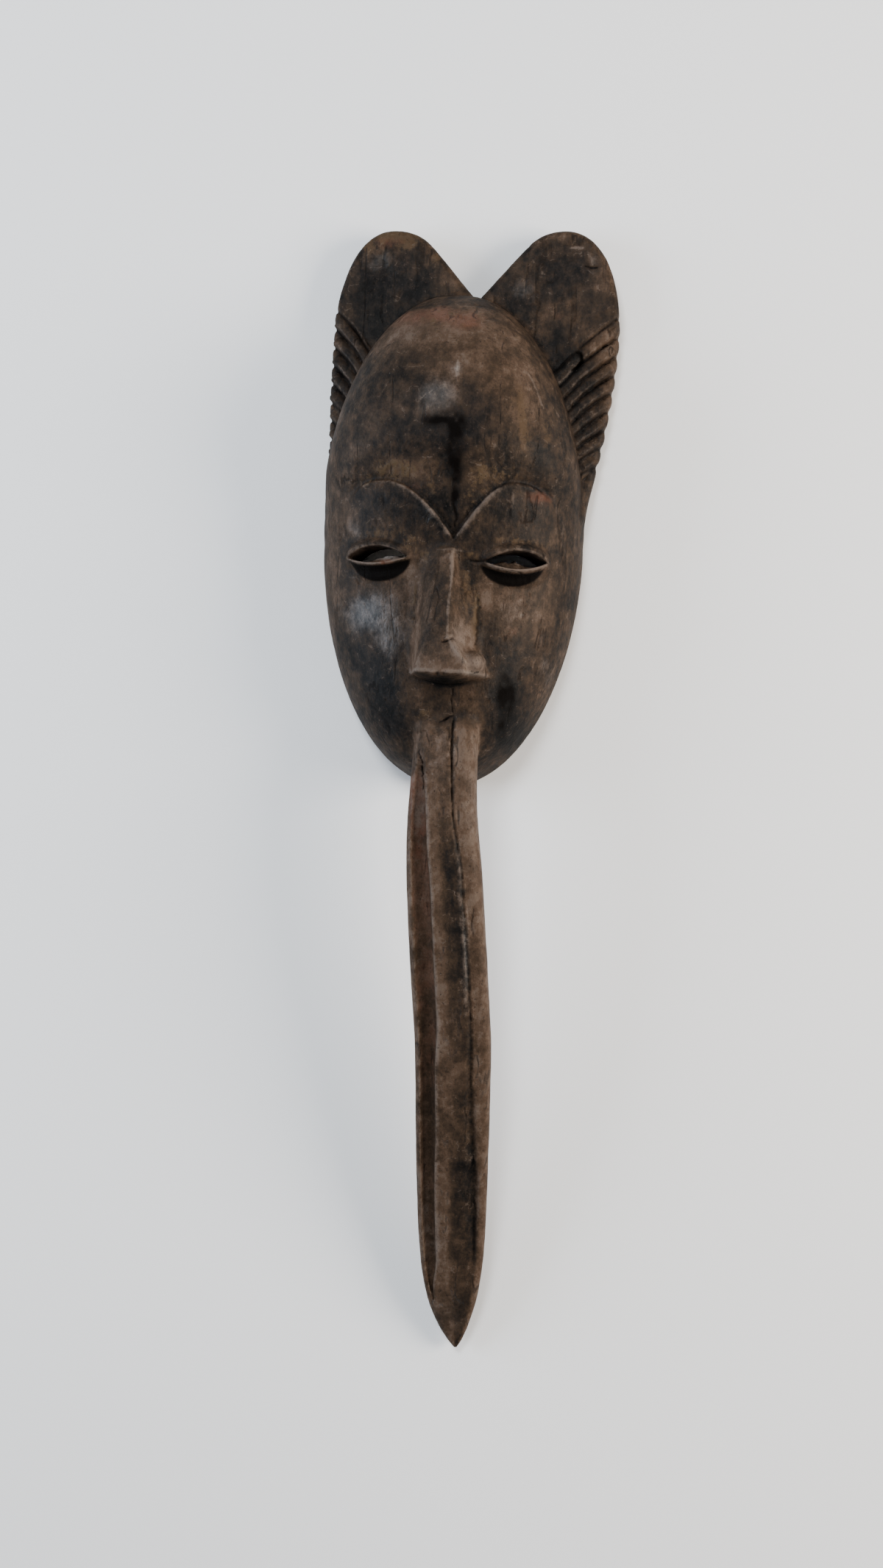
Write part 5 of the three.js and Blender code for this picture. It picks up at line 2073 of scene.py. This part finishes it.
    def build(self) -> Object:
        """Builds the mask's object, at the origin, with its place in its mesh."""
        self.wood = self.finish.material()
        body = self.carve()
        skin = new_object("skin", Skin(body).mesh("skin"))
        points = points_of(skin.data)
        hollow = body.hollow(points)
        back = smooth_step(2.5, 0.5, hollow)
        set_value(skin.data, "hollow", back)
        set_value(skin.data, "calm", 1 - back)
        skin.data = ToolMarks().tree(self.wood).applied(skin)
        front = smooth_step(2.5, 4.5, hollow)
        self.thin(skin, 1 - front * (0.5 + 0.5 * body.detailed(*points.T)))
        self.stain(skin.data, body)
        self.place(skin)
        skin.name = "carved_mask_surface"
        skin.data.name = skin.name
        return skin

    def thin(self, skin: Object, spare: Array) -> None:
        """Takes points out, most of all where the skin is flat and its marks are few.

        Args:
            skin: the skin's object.
            spare: how easily each point is spared, from 0 to 1.
        """
        triangles = 2 * len(skin.data.polygons)
        group = skin.vertex_groups.new(name="spare")
        levels = np.round(spare * 8).astype(int)
        for level in range(9):
            group.add(np.flatnonzero(levels == level).tolist(), level / 8, "REPLACE")
        modifier = skin.modifiers.new("thin", "DECIMATE")
        modifier.ratio = min(1.0, self.most_triangles / triangles)
        modifier.use_collapse_triangulate = True
        modifier.vertex_group = group.name
        modifier.vertex_group_factor = 1.0
        thinned = evaluated_mesh(skin)
        skin.modifiers.remove(modifier)
        skin.vertex_groups.remove(group)
        skin.data = thinned
        log.info("thinned from %d to %d triangles", triangles, len(thinned.polygons))

    def stain(self, mesh: Mesh, body: MaskBody) -> None:
        """Stores how dusty, black, ochre, bare, polished, worn, caked and hollow each place is, for the
        finish, which also paints shade into the hollows and highlights on some pale marks.

        Args:
            mesh: the skin's mesh.
            body: its field.
        """
        points = points_of(mesh)
        x, y, z = points.T
        front = smooth_step(1.5, 4.0, body.hollow(points))
        zones = self.zones(body, x, y, z)
        covers: Covers = {}
        for name, places in STAINS.items():
            here = sum(zones[zone] * covered(patches, x, y) for zone, patches in places.items())
            covers[name] = here * front
        self.stain_beak(covers, body.beak, zones[Zone.BEAK], x, y)
        wear, combed, crest = body.wear, body.combed, zones[Zone.CREST]
        rubbed, nicked = SHEET.read(wear.bare, x, y) * front, SHEET.read(wear.black, x, y) * front
        covers["bare"] = covers["bare"] + rubbed + SHEET.read(combed.bare, x, y) * crest
        ragged = 1 + 1.1 * rough(x / 5, y / 5, z / 5, 17)
        cuts = np.maximum(nicked, SHEET.read(combed.black, x, y) * crest)
        covers["cracks"] = np.maximum(cuts, covers.pop("black") * ragged)
        covers["caked"] = SHEET.read(wear.caked, x, y) * front
        covers["brow"], brow_rim_wear_and_highlight = body.face.rims(x, y)
        covers["brow_rim_wear_and_highlight"] = brow_rim_wear_and_highlight * zones[Zone.FACE] * front
        self.stain_lids(covers, body.eyes, x, y, z)
        fine, broad = self.bulges(body, points)
        edges = np.clip((fine * 1.7 + broad * 0.8) * (1 - 0.75 * crest) - 0.26, 0, 0.75)
        covers["edges"] = edges * (1 - covers["cracks"])
        # How hollow each place is: the finish darkens the hollows as painted shade and makes them rougher.
        covers["hollows"] = np.clip(-fine * 2.4 - broad * 2.0 - 0.14, 0, 0.9)
        for name, cover in covers.items():
            set_value(mesh, name, cover)

    def stain_beak(self, covers: Covers, beak: Beak, here: Array, x: Array, y: Array) -> None:
        """Adds the dust, soot and red that follow the beak's rib, strip and channel.

        Args:
            covers: the stains, by name.
            beak: the beak.
            here: how far each place belongs to it.
            x, y: the places.
        """
        strip, channel = beak.strip(x, y) * here, beak.channel(x, y) * here
        rib_dust, rib_soot = beak.rib(x, y)
        dusts = (strip * (1.0 - 0.1 * smooth_step(-20, -90, y)), channel * beak.channel_dust(y),
                 rib_dust * here * (1 - channel))
        covers["dust_and_highlight"] = np.max([covers["dust_and_highlight"], *dusts], axis=0)
        covers["soot_and_shade"] = np.maximum(covers["soot_and_shade"], rib_soot * here)
        reddened = channel * (0.5 - 0.25 * smooth_step(-60, -180, y))
        covers["red"] = np.maximum(covers["red"], reddened * smooth_step(8, -10, y))

    def stain_lids(self, covers: Covers, eyes: tuple[Eye, Eye], x: Array, y: Array, z: Array) -> None:
        """Adds the painted shade under the lids, partly soot, their worn rims, partly painted highlight, the
        orange stain on the left one and a painted highlight on the ledge inside the left slit.

        Args:
            covers: the stains, by name.
            eyes: the left eye and the right one.
            x, y, z: the places.
        """
        left, right = (eye.lids(x, y, z) for eye in eyes)
        orange = LID_STAIN.cover(x, y)
        # Painted shade under the lower lids, partly soot.
        covers["shade"] = np.maximum(left[0], right[0])
        covers["rim"] = np.where(x < 0, left[1], right[1])
        covers["rim_wear_and_highlight"] = np.maximum(left[2], right[2]) * (1 - orange)
        covers["red"] = np.maximum(covers["red"], 2 * orange)
        # The painted highlight on the ledge inside the left slit.
        ledge_light = LEDGE_PAINTED_LIGHT.cover(x, y) * smooth_step(0.1, -0.6, covers["rim"])
        covers["bare"] = np.clip(np.maximum(covers["bare"], ledge_light) * (1 - orange), 0, 2)
        covers["cracks"] = covers["cracks"] * (1 - orange)

    def bulges(self, body: MaskBody, points: Array) -> tuple[Array, Array]:
        """How far the surface bulges out over a short and a long reach, negative in a hollow.

        Args:
            body: the mask's field.
            points: the places, one a row.

        Returns:
            The bulge over 1.2 mm and the one over 4 mm.
        """
        here = body.in_steps(points)
        ways = [sign * axis for axis in np.eye(3, dtype=np.float32) for sign in (1, -1)]
        short, long = ((sum(body.in_steps(points + way * reach) for way in ways) / 6 - here) / reach
                       for reach in (1.2, 4.0))
        return short, long

    def zones(self, body: MaskBody, x: Array, y: Array, z: Array) -> dict[Zone, Array]:
        """How far each place belongs to the face, the crest, the nose and the beak.

        Args:
            body: the mask's field.
            x, y, z: the places.

        Returns:
            The share of each zone, from 0 to 1.
        """
        nose = smooth_step(1.6, 0.3, body.part(body.nose.distance, NOSE_BOX, x, y, z))
        beak = smooth_step(1.6, 0.3, body.part(body.beak.distance, BEAK_BOX, x, y, z))
        oval = np.hypot((x - OVAL.middle_x) / OVAL.half_width, (y - OVAL.temple_y) / OVAL.crown_reach)
        crest = smooth_step(22, 17, z) * smooth_step(0.93, 0.98, oval) * smooth_step(128, 140, y)
        nose = nose * (1 - beak)
        face = (1 - nose) * (1 - beak) * (1 - crest)
        return {Zone.FACE: face, Zone.CREST: crest * (1 - beak), Zone.NOSE: nose, Zone.BEAK: beak}

    def place(self, skin: Object) -> None:
        """Moves the mesh from the carving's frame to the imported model's, in metres.

        Args:
            skin: the mask's object.
        """
        mesh = skin.data
        points = (points_of(mesh) - np.array(CORNER, np.float32)) * MM + np.array(CAD_BOX[0], np.float32)
        mesh.vertices.foreach_set("co", points.ravel())
        mesh.polygons.foreach_set("use_smooth", np.ones(len(mesh.polygons), bool))
        mesh.update()


@dataclass(frozen=True)
class Studio:
    """The floor, the lights and the camera."""

    yaw: float = math.radians(6)
    roll: float = math.radians(2)
    distance: float = 0.9
    aim: Triple = (0.0, 0.0, 30.0)
    millimetres_per_pixel: float = 0.3689
    image_height: int = 2132
    sensor: float = 36.0

    def aim_point(self) -> Vector:
        """What the camera looks at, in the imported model's frame."""
        return (Vector(self.aim) - Vector(CORNER)) * MM + Vector(CAD_BOX[0])

    def camera(self) -> None:
        """Sets up the camera at the photograph's viewing angle."""
        data = bpy.data.cameras.new("camera")
        view = new_object("camera", data)
        back = Vector((math.sin(self.yaw), 0, math.cos(self.yaw)))
        level = Vector((math.cos(self.yaw), 0, -math.sin(self.yaw)))
        up = Vector((0, 1, 0))
        right = math.cos(self.roll) * level + math.sin(self.roll) * up
        top = -math.sin(self.roll) * level + math.cos(self.roll) * up
        turn = Matrix((right, top, back)).transposed().to_4x4()
        view.matrix_world = Matrix.Translation(self.aim_point() + back * self.distance) @ turn
        tall = self.image_height * self.millimetres_per_pixel * MM
        data.sensor_fit = "VERTICAL"
        data.sensor_height = self.sensor
        data.lens = self.sensor * self.distance / tall
        data.clip_start = 0.01
        bpy.context.scene.camera = view

    def floor(self) -> Object:
        """A plain pale floor."""
        half = 3.0
        points = np.array([(-half, -half, 0), (half, -half, 0), (half, half, 0), (-half, half, 0)], float)
        mesh = mesh_of("floor", points, np.array([(0, 1, 2, 3)]))
        made = bpy.data.materials.new("pale_floor")
        made.use_nodes = True
        shader = made.node_tree.nodes["Principled BSDF"]
        shader.inputs["Base Color"].default_value = (0.92, 0.92, 0.92, 1)
        shader.inputs["Roughness"].default_value = 0.8
        mesh.materials.append(made)
        return new_object("floor", mesh)

    def lamp(self, name: str, place: Triple, size: float, watts: float,
             colour: Triple) -> None:
        """A square lamp that looks at the mask.

        Args:
            name: its name.
            place: where it hangs, in metres from the mask's middle.
            size: the length of its side.
            watts: its power.
            colour: its colour.
        """
        data = bpy.data.lights.new(name, "AREA")
        data.energy = watts
        data.size = size
        data.color = colour
        lamp = new_object(name, data)
        lamp.location = place
        lamp.rotation_euler = (Vector((0, 0, 0.03)) - Vector(place)).to_track_quat("-Z", "Y").to_euler()

    def light(self) -> None:
        """A cool window at the upper left, a warm one at the right and an even sky."""
        self.lamp("window", (-1.35, 0.12, 0.5), 0.9, 26, (0.74, 0.85, 1.0))
        self.lamp("top_light", (-0.35, 1.1, 1.9), 0.6, 34, (0.92, 0.96, 1.0))
        self.lamp("warm_side", (1.35, 0.1, 0.66), 0.7, 40, (1.0, 0.92, 0.83))
        world = bpy.data.worlds.new("sky")
        bpy.context.scene.world = world
        world.use_nodes = True
        sky = world.node_tree.nodes["Background"]
        sky.inputs["Color"].default_value = (1.0, 0.99, 0.97, 1)
        sky.inputs["Strength"].default_value = 0.3


def write_sizes() -> None:
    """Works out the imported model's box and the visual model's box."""
    boxes = [[[float(value) for value in corner] for corner in box] for box in (CAD_BOX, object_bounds())]


def main() -> None:
    """Builds the mask, then the studio round it."""
    logging.basicConfig(level=logging.INFO, format="%(name)s: %(message)s")
    studio = Studio()
    studio.camera()
    mask = CarvedMask().build()
    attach(mask, "root")
    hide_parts("carved_mask")
    log.info("built %s with %d triangles", mask.name, len(mask.data.polygons))
    floor = studio.floor()
    floor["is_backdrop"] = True
    studio.light()
    write_sizes()


if __name__ == "__main__":
    main()
